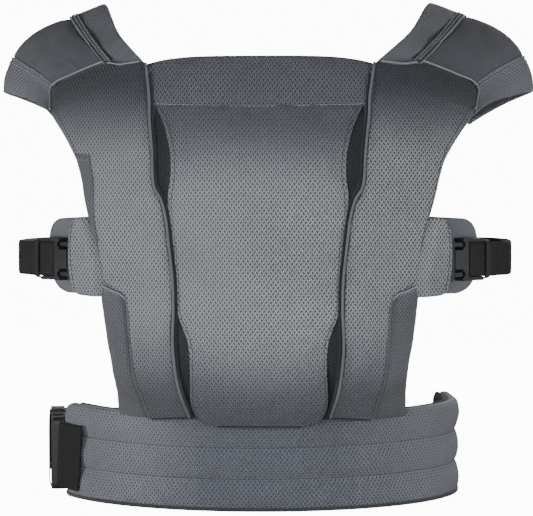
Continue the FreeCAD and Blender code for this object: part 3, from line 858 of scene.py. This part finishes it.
@made_once
def moulded_plastic(name, colour):
    """Plastic with a fine grain, its sheen uneven along the flow."""
    material, w, shader, at = start_material(name, 0.4, 0.0, 0.5)
    grain = placed_group(w, "grain", at["Object"])
    shade = w.blend(grain["Sheen shift"], tone(colour, 0.85), tone(colour, 1.2))
    w.join(shade, shader.inputs["Base Color"])
    w.join(w.range(grain["Sheen shift"], 0.2, 0.8, 0.34, 0.5), shader.inputs["Roughness"])
    bump(w, shader, grain["Height"], 0.00008)
    return material


# ---- what a user may change ----

def colour_setting(name, about, value):
    return bpy.props.FloatVectorProperty(name=name, description=about, subtype="COLOR", size=3,
                                         min=0.0, max=1.0, default=value)


def length_setting(name, about, value):
    return bpy.props.FloatProperty(name=name, description=about, unit="LENGTH", precision=4,
                                   min=0.0, default=value)


class CarrierColours(bpy.types.PropertyGroup):
    """Colours of the cloths, cords and plastic"""
    panel: colour_setting("Panel mesh", "Yarn of the front and side panels", (0.262, 0.28, 0.303))
    head: colour_setting("Head support mesh", "Yarn of the fold-down head support", (0.108, 0.115, 0.14))
    belt: colour_setting("Belt mesh", "Yarn of the waist belt", (0.405, 0.43, 0.48))
    cap: colour_setting("Shoulder jersey", "Smooth cloth over the shoulders", (0.122, 0.128, 0.152))
    band: colour_setting("Shoulder mesh", "Open mesh at the shoulders' edges", (0.23, 0.245, 0.28))
    leg: colour_setting("Leg pad mesh", "Denser mesh of the leg pads", (0.135, 0.142, 0.162))
    pad: colour_setting("Buckle pad jersey", "Smooth cloth behind the side buckles", (0.2, 0.22, 0.25))
    lining: colour_setting("Lining", "Cloth that faces the baby and the wearer", (0.055, 0.06, 0.072))
    cord: colour_setting("Piping", "Cord along the front seams", (0.2, 0.215, 0.24))
    thread: colour_setting("Thread", "Stitching that shows", (0.3, 0.32, 0.35))
    dark_thread: colour_setting("Dark thread", "Stitching that sinks in", (0.07, 0.076, 0.086))
    webbing: colour_setting("Webbing", "Straps through the buckles", (0.014, 0.014, 0.015))
    elastic: colour_setting("Elastic", "Keepers and the safety loop", (0.03, 0.031, 0.034))
    plastic: colour_setting("Plastic", "Buckles", (0.022, 0.0235, 0.027))


class CarrierSizes(bpy.types.PropertyGroup):
    """Sizes of the mesh and the stitches, and how full the padding is"""
    hole_pitch: length_setting("Hole pitch", "Gap between holes of the mesh along a row", 0.0032)
    row_pitch: length_setting("Row pitch", "Gap between rows of holes", 0.00205)
    hole_width: length_setting("Hole width", "Width of one hole", 0.00125)
    hole_height: length_setting("Hole height", "Height of one hole", 0.0018)
    stitch: length_setting("Stitch length", "Length of one stitch", 0.0024)
    puff: bpy.props.FloatProperty(name="Puff", description="Pressure that fills the padding",
                                  min=0.0, max=20.0, default=4.0)


def colour_of(key, factor=1.0):
    """One of the carrier's colours, darkened by a factor."""
    return tuple(c * factor for c in getattr(bpy.context.scene.carrier_colours, key))


# Rows of painted shade, if given, darken the mesh's colour between set places.
def panel_cloth(name="Panel mesh", colour="panel", scale=1.0, fade=None):
    sizes = bpy.context.scene.carrier_sizes
    return mesh_knit(name, colour_of(colour), sizes.hole_pitch * scale, sizes.row_pitch * scale,
                     sizes.hole_width * scale, sizes.hole_height * scale, fade=fade)


def seam_tape():
    return jersey_knit("Seam tape", colour_of("lining", 0.5), 0.0008)


def seam_thread(dark=False):
    return thread("Dark thread", colour_of("dark_thread")) if dark else thread("Thread", colour_of("thread"))


def sewing(name, lines, pitch=3.2, slant=0.0, dark=False, body="carrier"):
    """Stitches along lines, in the length a user set, fixed to a body if one is given."""
    length = bpy.context.scene.carrier_sizes.stitch / MM
    piece = stitches(name, lines, seam_thread(dark), "panel_mesh", pitch, length, slant=slant)
    if body:
        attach(piece, body)
    return piece


def line(count, u, t):
    """Shares along a line of a surface from its first to its last (u, t)."""
    return np.linspace(u[0], u[1], count), np.linspace(t[0], t[1], count)


def mirrored(outline):
    return [(-x, z) for x, z in outline]


def pucker(gap, reach, s, seed):
    """Ripples along a seam, which die away exponentially with the gap to it."""
    return np.exp(-gap / reach) * ripple(s, seed)


def arch(u, power=1.0):
    """Half a sine across a piece, level at both edges, to a power."""
    return np.sin(math.pi * u) ** power


def fixed(piece, *nodes, fill=None, body="carrier"):
    """Fixes a piece to a body in place of CAD nodes. The fill is not used."""
    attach(piece, body)
    if nodes:
        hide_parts(*nodes)
    return piece


def stuffed(pad, name, cloth, slot_name, *nodes, fill, cap=None, held=None):
    """Builds a pad, blows it up if it has a cap, and fixes it in place of CAD nodes."""
    piece = pad.build(name, cloth, slot_name)
    if cap:
        swell(pad, bpy.context.scene.carrier_sizes.puff, cap, held=held)
    return fixed(refine(piece), *nodes, fill=fill)


# ---- the pieces ----

class MakeFrontPanel(bpy.types.Operator):
    """Front panel: crowned and puckered along its seams, with a lining behind it"""
    bl_idname = "carrier.front_panel"
    bl_label = "Front panel"

    def execute(self, context):
        place = on_form(1, mirrored(PANEL_EDGE), PANEL_EDGE, sunk=PANEL_FOOT)

        def bulge(u, t, pad):
            z = mix(68.5, PANEL_TOP, t)
            seam = pucker(pad.edge_u, 9.0, z, 3) + pucker(pad.edge_t, 9.0, u * 110, 4)
            broad = 0.9 * arch(u, 0.7) * arch(np.clip(t, 0, 1), 0.5)
            return 0.7 * seam + broad + 0.35 * ripple(u * 120 + 0.5 * z, 5, (41.0, 67.0))
        pad = Pad(place, steps(34), steps(60, FINE_ROWS), PAD_LOW, PAD_HIGH, 5.0, bulge, form_cloth)
        # The front panel's mesh carries painted shade towards its top and its foot.
        stuffed(pad, "front_panel", panel_cloth(fade=FRONT_PAINTED_SHADE), "panel_mesh", "body_panel", fill=0.55,
                cap=2.2)
        # Painted shadow: a dark cord along the panel's foot stands in for the shadow it casts on the belt.
        foot = np.linspace(0.01, 0.99, 120)
        fixed(cord_on("front_panel_foot", place, foot, 0 * foot, PAD_LOW + 1.0, 1.7, seam_tape(),
                      "panel_mesh"))
        across, up = line(160, (0.035, 0.035), (0.02, 0.985))
        skin = pad.skin()
        sewing("front_panel_stitching", [(skin, across, up, 0.15), (skin, 1 - across, up, 0.15)], dark=True)

        back = on_form(1, mirrored(LINER_EDGE), LINER_EDGE, tucked=1.0)
        lining = Pad(back, steps(30), steps(40), 0.0, 2.0, 1.5, None, form_cloth)
        stuffed(lining, "body_lining", panel_cloth("Lining mesh", "lining", 0.8), "lining_jersey",
                "body_liner", fill=0.1)
        return {"FINISHED"}


class MakeHeadSupport(bpy.types.Operator):
    """Head support: folds over the front panel's top seam"""
    bl_idname = "carrier.head_support"
    bl_label = "Head support"

    def execute(self, context):
        form = on_form(1, mirrored(HEAD_EDGE), HEAD_EDGE)

        def place(u, t, lift):
            points = form(u, t, lift)
            points[..., 2] -= 5.5 * t * np.abs(2 * u - 1) ** 4 + 2.4 * (1 - t) * arch(u)
            return points

        def bulge(u, t, pad):
            return 0.6 * pucker(pad.edge_t, 7.0, u * 150, 14) \
                + 0.5 * pucker(pad.edge_u, 8.0, t * 35, 15) + 0.8 * arch(t)
        pad = Pad(place, steps(40), steps(12, (0, 0.012, 0.045, 0.1)), PAD_LOW, PAD_HIGH - 0.4, 3.0, bulge,
                  form_cloth)
        piece = pad.build("head_support_pad", panel_cloth("Head support mesh", "head"), "lining_jersey")
        swell(pad, context.scene.carrier_sizes.puff, 1.4)
        refine(piece)
        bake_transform(piece)
        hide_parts("head_support", "head_support_padding")
        across = np.linspace(0.01, 0.99, 160)
        rows = sewing("head_support_stitching", [(pad.skin(), across, 0 * across + 0.05, 0.3)], body=None)
        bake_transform(rows)
        return {"FINISHED"}


class MakeSidePanels(bpy.types.Operator):
    """Side panels up to the shoulder seams, with their piping and seam flanges"""
    bl_idname = "carrier.side_panels"
    bl_label = "Side panels"

    def execute(self, context):
        piping = jersey_knit("Piping jersey", colour_of("cord"), 0.0008)
        dark = seam_tape()
        for name, side in SIDES:
            def bulge(u, t, pad):
                z = mix(76, 310, t)
                seam = pucker(pad.edge_u, 8.0, z, 20 + side) + pucker(pad.edge_t, 9.0, u * 60, 24 + side)
                broad = 1.2 * arch(u, 0.8) * smoothstep(6 * t) * smoothstep(5 * (1 - t))
                return 0.75 * seam + broad + 0.5 * ripple(u * 50 - 0.8 * z, 28 + side, (37.0, 61.0))
            pad = Pad(side_panel_place(side), steps(18), steps(72, FINE_ROWS), PAD_LOW, PAD_HIGH, 4.5,
                      bulge, form_cloth)
            # The side panels' mesh carries painted shade towards their tops and feet.
            stuffed(pad, name + "_side_cloth", panel_cloth("Side mesh", "panel", fade=SIDE_PAINTED_SHADE),
                    "panel_mesh", name + "_side_panel", fill=0.5, cap=2.4)

            edge = on_form(side, PIPING, SIDE_EDGE, sunk=FOOT)
            up = np.linspace(0.0, 1.0, 140)
            beside = 0 * up + 0.008
            fixed(cord_on(name + "_piping_cord", edge, beside, up, PAD_HIGH + 1.0, 1.0, piping,
                          "piping_cord"), name + "_piping")
            fixed(band_on(name + "_piping_tape", edge, beside, 0.975 * up, PAD_HIGH - 0.4, 5.6, 1.0, dark,
                          "piping_cord"))
            # Painted shadow: a dark cord along the side panel's foot stands in for the shadow it casts on
            # the belt.
            foot = np.linspace(0.02, 0.98, 50)
            fixed(cord_on(name + "_side_foot", edge, foot, 0 * foot, PAD_LOW + 1.0, 1.5, dark,
                          "panel_mesh"))
            across, run = line(150, (0.94, 0.94), (0.02, 0.97))
            skin = pad.skin()
            sewing(name + "_side_stitching", [(skin, across, run, 0.15), (skin, 0.98 - across, run, 0.1)],
                   dark=True)
            for label, run, paint in (("leg_seam_cord", np.linspace(0.0, 0.33, 60), piping),
                                      ("corner_seam", np.linspace(0.325, 0.46, 40), seam_thread())):
                lift = 6.4 + 2.8 * smoothstep((run - 0.32) / 0.03)
                fixed(cord_on(f"{name}_{label}", edge, 0 * run + 1.012, run, lift, 0.65, paint,
                              "piping_cord"))
        return {"FINISHED"}


class MakeLegPads(bpy.types.Operator):
    """Pads at the baby's legs, beside the lower ends of the side panels"""
    bl_idname = "carrier.leg_pads"
    bl_label = "Leg pads"

    def execute(self, context):
        cloth = panel_cloth("Leg mesh", "leg", 0.8)
        for name, side in SIDES:
            def bulge(u, t, pad):
                return 1.3 * arch(u) + 0.5 * pucker(pad.edge_u, 6.0, t * 82, 31 + side)
            place = on_form(side, LEG_INNER, LEG_OUTER, sunk=(FOOT[0], 24.0))
            pad = Pad(place, steps(9, (0, 0.03, 0.09)), steps(26, (0, 0.01, 0.03)), 1.0, 8.0, 3.6, bulge,
                      form_cloth)
            stuffed(pad, name + "_leg_cushion", cloth, "spacer_mesh", name + "_leg_pad", fill=0.6, cap=1.8)
            top = np.linspace(0.05, 0.95, 30)
            sewing(name + "_leg_stitching", [(pad.skin(), top, 0 * top + 0.93, 0.4)])
        return {"FINISHED"}


class MakeWings(bpy.types.Operator):
    """Wing covers over the side buckles, the jersey pads behind them, and the left edge facing"""
    bl_idname = "carrier.wings"
    bl_label = "Wings and buckle pads"

    def execute(self, context):
        soft = jersey_knit("Buckle pad jersey", colour_of("pad"))
        for name, side in SIDES:
            cover = cornered(on_form(side, WING_INNER, WING_OUTER, wing=8.4), 18.0, 57.0, 4.5)
            pad = Pad(cover, steps(10, (0, 0.02, 0.06)), steps(18, (0, 0.012, 0.04)), 5.0, 7.2, 1.2, None,
                      form_cloth)
            # The wing covers share the front panel's mesh and its painted shade.
            stuffed(pad, name + "_wing", panel_cloth(fade=FRONT_PAINTED_SHADE), "panel_mesh", name + "_wing_cover",
                    fill=0.15)
            rim = np.linspace(0.05, 0.95, 40)
            sewing(name + "_wing_stitching", [(pad.skin(), 0 * rim + 0.86, rim, 0.15)], dark=True)
            behind = cornered(on_form(side, BUCKLE_PAD_INNER, BUCKLE_PAD_OUTER, drop=PAD_DROP),
                              62.0, 56.0, 9.0)
            pad = Pad(behind, steps(12, (0, 0.02, 0.06)), steps(18, (0, 0.015, 0.05)), -5.0, -1.0, 2.4,
                      lambda u, t, p: 0.7 * arch(u) * arch(t), form_cloth)
            stuffed(pad, name + "_buckle_cushion", soft, "lining_jersey", name + "_buckle_pad", fill=0.35)
        pad = Pad(on_form(-1, FACING_INNER, FACING_OUTER), steps(6, (0, 0.06)), steps(20, (0, 0.02)),
                  PAD_HIGH + 0.3, PAD_HIGH + 1.8, 0.9, None, form_cloth)
        piece = pad.build("left_facing", panel_cloth("Leg mesh", "leg", 0.8), "spacer_mesh")
        fixed(refine(piece), "left_edge_facing")
        rim = np.linspace(0.04, 0.97, 50)
        sewing("left_facing_stitching", [(pad.skin(), rim, 0 * rim + 0.94, 0.2)])
        return {"FINISHED"}


class MakeShoulders(bpy.types.Operator):
    """Padded shoulder straps in three bands, sewn to the side panels"""
    bl_idname = "carrier.shoulders"
    bl_label = "Shoulder straps"

    def execute(self, context):
        cap = jersey_knit("Shoulder jersey", colour_of("cap"))
        band = panel_cloth("Shoulder mesh", "band", 0.9)
        dark = seam_tape()
        parts = (("inner_band", 0.0, CAP_FROM + 0.012, 5.0, band, "shoulder_mesh", 0.8),
                 ("cap", CAP_FROM - 0.008, CAP_TO + 0.008, 9.0, cap, "lining_jersey", 1.0),
                 ("outer_band", CAP_TO - 0.012, 1.0, 5.0, band, "shoulder_mesh", 0.8))
        for name, side in SIDES:
            for part, inner, outer, thick, cloth, slot_name, crown in parts:
                def bulge(u, t, pad):
                    return crown * arch(u, 0.6) * smoothstep(8 * t) \
                        + 0.5 * pucker(pad.edge_u, 6.0, t * 170, 40 + side)
                place = on_strap(side, cap_seam, CAP_END, inner, outer, CAP_RISE)
                across = steps(16 if part == "cap" else 7, (0, 0.02, 0.06))
                pad = Pad(place, across, steps(44, (0, 0.005, 0.016)), -thick, -0.2, 1.3, bulge)
                stuffed(pad, f"{name}_{part}", cloth, slot_name, f"{name}_shoulder_{part}", fill=0.5,
                        cap=1.2)
            whole = on_strap(side, cap_seam, CAP_END, 0.0, 1.0, CAP_RISE)
            run = np.linspace(0.01, 0.99, 90)
            fixed(band_on(name + "_shoulder_tape", whole, 0 * run + 0.247, run, 0.9, 6.5, 0.6, dark,
                          "lining_jersey"))
            seam = np.linspace(0.03, 0.97, 90)
            for label, u, t, lift in (("cap_seam", seam, 0 * seam, 0.5),
                                      ("cap_line", 0 * run + CAP_FROM - 0.004, run, 0.7)):
                fixed(cord_on(f"{name}_{label}", whole, u, t, lift, 0.75, seam_thread(), "panel_mesh"))
            sewing(name + "_shoulder_zigzag", [
                (whole, 0 * run + share, run, lift) for share, lift in
                ((0.233, 1.4), (0.257, 1.4), (CAP_TO + 0.004, 0.9), (CAP_TO + 0.034, 0.8))],
                pitch=2.2, slant=0.9)
        return {"FINISHED"}


def bent(wave, power):
    """A wave with its size raised to a power and its sign kept: under 1, its crests flatten."""
    return np.sign(wave) * np.abs(wave) ** power


def band_round(name, path, width_way, width, thick, paint):
    """A flat elastic band closed round a path, its width along width_way."""
    along = path_frames(np.vstack([path[-1:], path, path[:1]]))[1:-1]
    side = np.tile(width_way, (len(path), 1))
    return carried(name, path, side, np.cross(along, side), flat_profile(width, thick), paint, "elastic",
                   closed=True)


class MakeBackStraps(bpy.types.Operator):
    """Straps that cross at the back, and the loop that the right one passes through"""
    bl_idname = "carrier.back_straps"
    bl_label = "Back straps"

    def execute(self, context):
        cap = jersey_knit("Shoulder jersey", colour_of("cap"))
        for name, side in SIDES:
            def bulge(u, t, pad):
                return 0.6 * arch(u, 0.6) + 0.35 * pucker(pad.edge_u, 7.0, t * 300, 50 + side)
            place = on_strap(side, lambda across: BACK_START + 0 * across, 1.0, 0.0, 1.0)
            pad = Pad(place, steps(18, (0, 0.015, 0.05)), steps(80, (0, 0.003, 0.01)), -6.0, -0.8, 2.2,
                      bulge)
            stuffed(pad, name + "_back_cloth", cap, "shoulder_mesh", name + "_back_strap", fill=0.4,
                    cap=0.7)
            run = np.linspace(0.01, 0.99, 160)
            sewing(name + "_back_stitching", [(place, 0 * run + share, run, 0.0) for share in (0.09, 0.91)])

        loop_share, loop_y, clearance, depth = 7 / 9, 119.8, 0.7, 6.1
        inner, outer = (strap_point(1, np.array([loop_share]), np.array([edge]))[0] for edge in (0.0, 1.0))
        over = outer - inner
        over[1] = 0
        half = np.linalg.norm(over) / 2 + 4.5
        over /= np.linalg.norm(over)
        middle = 0.5 * (inner + outer)
        middle[1] = loop_y
        angle = np.linspace(0, 2 * math.pi, 72, endpoint=False)
        back = np.array([0, 1.0, 0])
        path = middle + over * (bent(np.sin(angle), 0.35) * (half + clearance))[:, None] \
            + back * (bent(np.cos(angle), 0.35) * depth)[:, None]
        fixed(band_round("crossover_band", path, np.cross(back, over), 30, 1.4, seam_tape()),
              "crossover_loop")
        return {"FINISHED"}


class MakeBelt(bpy.types.Operator):
    """Waist belt: three stuffed channels, a lining and a bound hem"""
    bl_idname = "carrier.belt"
    bl_label = "Waist belt"

    def execute(self, context):
        seams = (0.335, 0.665)

        def off_seam(t):
            return np.minimum(np.abs(t - seams[0]), np.abs(t - seams[1]))

        def bulge(u, t, pad):
            gap, run = off_seam(t) * BELT_HEIGHT, u * BELT_LENGTH
            channel = -2.6 * np.exp(-(gap / 3.4) ** 1.3)
            folds = 0.5 * pucker(gap, 5.0, run, 61) + 0.5 * pucker(pad.edge_t, 5.0, run, 62)
            return channel + folds + 0.3 * ripple(run + 30 * t, 63, (47.0, 83.0))
        rows = np.sort(np.concatenate([steps(26, (0, 0.008, 0.024, 0.045)), seams]))
        pad = Pad(on_belt, steps(110, (0, 0.002, 0.006, 0.012)), rows, -9.8, -0.4, 4.2, bulge)
        held = off_seam(np.repeat(rows[:, None], pad.shape[1], 1)) < 0.004
        # The belt's mesh carries painted shade, darker towards its middle.
        stuffed(pad, "belt_cover", panel_cloth("Belt mesh", "belt", fade=BELT_PAINTED_SHADE), "belt_mesh",
                "waist_belt_cover", "waist_foam_lower", "waist_foam_middle", "waist_foam_upper",
                fill=0.75, cap=2.0, held=held)
        run = np.linspace(0.012, 0.988, 400)
        skin = pad.skin()
        sewing("belt_stitching", [(skin, run, 0 * run + share, 0.1) for share in seams], dark=True)
        lining = Pad(on_belt, steps(90, (0, 0.002, 0.006)), steps(14, (0, 0.01, 0.03)), -12.0, -10.0, 1.0)
        cloth = jersey_knit("Lining jersey", colour_of("lining"))
        stuffed(lining, "belt_lining", cloth, "lining_jersey", "waist_belt_lining", fill=0.1)
        fixed(band_on("belt_hem", on_belt, run, 0 * run + 0.016, -0.6, 3.0, 1.2, cloth, "lining_jersey"),
              "waist_hem_binding")
        return {"FINISHED"}


def plan_path(route, count, side=1, height=0.0, drop=0.0):
    """Points along a route drawn in plan, at one height, hanging down smoothly by drop."""
    share = np.linspace(0, 1, count)
    plan = flow(route, share)
    z = height - drop * smoothstep(4 * share) * smoothstep(4 - 4 * share)
    return np.column_stack([side * plan[:, 0], plan[:, 1], z])


def buckle_point(name, s, n):
    """Point of a buckle from s out along its plug and n through its thickness, in plan."""
    at, turn, *_ = BUCKLES[name]
    c, d = math.cos(math.radians(turn)), math.sin(math.radians(turn))
    return np.column_stack([at[0] + s * c - n * d, at[1] + s * d + n * c, np.full(len(s), at[2])])


def upright_band(name, path, width, thick, paint, lean=0.0):
    """Webbing on edge: a flat band whose width stands upright, or leans back along the path."""
    along = path_frames(path)
    rise = np.tile(np.array([0.0, 0, 1]), (len(path), 1))
    return carried(name, path, rise - lean * along, np.cross(along, rise), flat_profile(width, thick), paint,
                   "webbing")


def buckle_band(name, buckle, s, tall, deep, width, thick, paint):
    """An elastic band round a buckle at s along its plug, through points tall up and deep
    through it."""
    path = buckle_point(buckle, 0 * tall + s, deep)
    path[:, 2] += tall
    outward = np.diff(buckle_point(buckle, np.array([0.0, 1.0]), np.zeros(2)), axis=0)[0]
    return band_round(name, path, outward, width, thick, paint)


class MakeWebbing(bpy.types.Operator):
    """Webbing through the buckles' ladders, its keepers, the belt's tab and the safety loop"""
    bl_idname = "carrier.webbing"
    bl_label = "Webbing"

    def execute(self, context):
        paint = webbing_cloth("Webbing", colour_of("webbing"))
        stretch = webbing_cloth("Elastic", colour_of("elastic"), 0.0012)
        ring = np.linspace(0, 2 * math.pi, 64, endpoint=False)
        tall, deep = bent(np.cos(ring), 0.3), bent(np.sin(ring), 0.5)
        for name, (at, _, thick, k, width) in BUCKLES.items():
            waist = name == "waist"
            route, side = (WAIST_ROUTE, 1) if waist else (SIDE_ROUTE, -1 if name == "left" else 1)
            away = plan_path(route, 90, side, at[2], WAIST_DROP if waist else 0.0)[::-1]
            n = thick / 2 - 2.4 + 0.45 + 0.8
            front = -1.0 if name == "right" else 1.0
            low, high = BAR_SPAN[0] * k - 0.6, BAR_SPAN[1] * k + 0.6
            middle, reach = 0.5 * (low + high), 0.5 * (high - low) + 0.6
            bend = np.linspace(-math.pi / 2, -3 * math.pi / 2, 20)
            inner = np.linspace(LOOP_SPAN[0] * k, middle, 24)[:-1]
            outer = np.linspace(middle, LOOP_SPAN[1] * k, 22)[1:]
            s = np.concatenate([inner, middle + reach * np.cos(bend), outer])
            settle = smoothstep((LOOP_SPAN[0] * k - inner) / (8.0 * k))
            sway = np.concatenate([-n * settle, n * np.sin(bend), n + 0 * outer])
            path = np.concatenate([away[:-1], buckle_point(name, s, front * sway)])
            strap = upright_band(name + "_buckle_webbing", path, width, WEBBING_THICK, paint)
            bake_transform(strap)
            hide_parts(name + ("_webbing" if waist else "_strap_webbing"), name + "_webbing_loop")
            tail = np.linspace(FOLD_SPAN[0] * k, FOLD_SPAN[1] * k, 10)
            fold = buckle_point(name, tail, front * (n + 1.7) + 0 * tail)
            fixed(upright_band(name + "_webbing_fold", fold, width, WEBBING_THICK, paint),
                  body=name + "_plug")
            fixed(buckle_band(name + "_keeper", name, KEEPER_AT * k, tall * (width / 2 + 1.2),
                              deep * (n + 2.0), 4.6 * k, 1.1, stretch), name + "_webbing_keeper",
                  body=name + "_plug")
        tab_path = plan_path(TAB_ROUTE, 24, 1, 31.0)
        fixed(upright_band("belt_tab", tab_path, 50.0, 1.6, paint, lean=0.11), "waist_tab")
        ring = np.linspace(0, 2 * math.pi, 80, endpoint=False)
        tall = bent(np.cos(ring), 0.3)
        tall = np.where(tall > 0, tall * 32.0, tall * 29.1)
        fixed(buckle_band("waist_safety_elastic", "waist", -16.0, tall, bent(np.sin(ring), 0.35) * 6.9,
                          7.6, 0.9, stretch), "safety_loop")
        return {"FINISHED"}


class FinishBuckles(bpy.types.Operator):
    """Moulded plastic on the buckles' sockets, plugs and prongs"""
    bl_idname = "carrier.buckles"
    bl_label = "Buckles"

    def execute(self, context):
        plastic = moulded_plastic("Buckle plastic", colour_of("plastic"))
        for name in BUCKLES:
            for part in ("buckle_socket", "buckle_plug", "prong_upper", "prong_lower"):
                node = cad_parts[f"{name}_{part}"]
                node.data.materials.clear()
                node.data.materials.append(plastic)
        return {"FINISHED"}


class SetStage(bpy.types.Operator):
    """Pale floor that curves up all round, soft lights and the camera"""
    bl_idname = "carrier.stage"
    bl_label = "Stage"

    def execute(self, context):
        scene = context.scene
        level, flat, curve, top = -3.0, 2400, 900, 6000.0
        angle = np.linspace(0, math.pi / 2, 16)
        rise = np.column_stack([flat + curve * np.sin(angle), level + curve * (1 - np.cos(angle))])
        profile = np.concatenate([[(0.5, level)], rise, [(flat + curve, top)]])
        turn = np.linspace(0, 2 * math.pi, 96, endpoint=False)
        away, turn = np.meshgrid(profile[:, 0], turn, indexing="ij")
        points = np.stack([away * np.cos(turn), away * np.sin(turn), profile[:, 1:] + 0 * away], -1)
        points = points.reshape(-1, 3)
        faces = grid_faces(len(profile), turn.shape[1], wrap_columns=True)[:, ::-1]
        material = bpy.data.materials.new("Pale floor")
        material.use_nodes = True
        shader = material.node_tree.nodes["Principled BSDF"]
        shader.inputs["Base Color"].default_value = (0.95, 0.95, 0.95, 1)
        shader.inputs["Roughness"].default_value = 0.9
        shader.inputs["Emission Color"].default_value = (1, 1, 1, 1)
        shader.inputs["Emission Strength"].default_value = 12.0
        floor = add_piece("floor", points, faces, points[faces][..., :2], material, None, outward=False)
        del floor["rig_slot"]
        floor.visible_diffuse = floor.visible_glossy = False

        world = bpy.data.worlds.new("Studio")
        world.use_nodes = True
        sky = world.node_tree.nodes["Background"].inputs
        sky["Color"].default_value, sky["Strength"].default_value = (1, 1, 1, 1), 0.12
        scene.world = world

        # Each light: name, place, what it faces, width, height and power.
        lights = (("front", (-0.04, -0.82, 0.16), (0, -0.1, 0.19), 0.30, 0.16, 2.3),
                  ("left", (-0.85, -0.62, 0.10), (-0.1, -0.05, 0.14), 0.30, 0.35, 5.6),
                  ("right", (0.85, -0.62, 0.12), (0.1, -0.05, 0.15), 0.30, 0.35, 4.6),
                  ("back", (0.25, 1.15, 0.75), (0, 0.05, 0.2), 0.9, 0.7, 13.0))
        for name, at, to, width, height, power in lights:
            lamp = bpy.data.lights.new(name, "AREA")
            lamp.shape, lamp.size, lamp.size_y, lamp.energy = "RECTANGLE", width, height, power
            light = bpy.data.objects.new(name, lamp)
            light.location = at
            light.rotation_euler = (Vector(to) - Vector(at)).to_track_quat("-Z", "Y").to_euler()
            light.visible_camera = False
            scene.collection.objects.link(light)

        camera = bpy.data.objects.new("camera", bpy.data.cameras.new("camera"))
        scene.collection.objects.link(camera)
        camera.data.lens, camera.data.sensor_width = 129.5, 36.0
        target = Vector((0.002, -0.060, 0.182))
        turn, tilt, distance = math.radians(2.4), math.radians(2.0), 1.44
        camera.location = target + distance * Vector((
            math.sin(turn) * math.cos(tilt), -math.cos(turn) * math.cos(tilt), math.sin(tilt)))
        camera.rotation_euler = (target - camera.location).to_track_quat("-Z", "Y").to_euler()
        camera.data.clip_start = 0.05
        scene.camera = camera
        return {"FINISHED"}


class CarrierPanel(bpy.types.Panel):
    """Shows the carrier's colours and sizes, and a button for each maker"""
    bl_idname = "VIEW3D_PT_carrier"
    bl_label = "Soft baby carrier"
    bl_space_type = "VIEW_3D"
    bl_region_type = "UI"
    bl_category = "Carrier"

    def draw(self, context):
        scene = context.scene
        for title, group in (("Colours", scene.carrier_colours), ("Sizes", scene.carrier_sizes)):
            box = self.layout.box()
            box.label(text=title)
            for key in group.__annotations__:
                box.prop(group, key)
        for maker in MAKERS:
            self.layout.operator(maker.bl_idname)


MAKERS = (SetStage, MakeFrontPanel, MakeHeadSupport, MakeSidePanels, MakeLegPads, MakeWings, MakeShoulders,
          MakeBackStraps, MakeBelt, MakeWebbing, FinishBuckles)
CLASSES = (CarrierColours, CarrierSizes) + MAKERS + (CarrierPanel,)


def register():
    for item in CLASSES:
        bpy.utils.register_class(item)
    bpy.types.Scene.carrier_colours = bpy.props.PointerProperty(type=CarrierColours)
    bpy.types.Scene.carrier_sizes = bpy.props.PointerProperty(type=CarrierSizes)


def unregister():
    del bpy.types.Scene.carrier_sizes
    del bpy.types.Scene.carrier_colours
    for item in reversed(CLASSES):
        bpy.utils.unregister_class(item)


def main():
    register()
    for maker in MAKERS:
        space, name = maker.bl_idname.split(".")
        getattr(getattr(bpy.ops, space), name)()


if __name__ == "__main__":
    main()
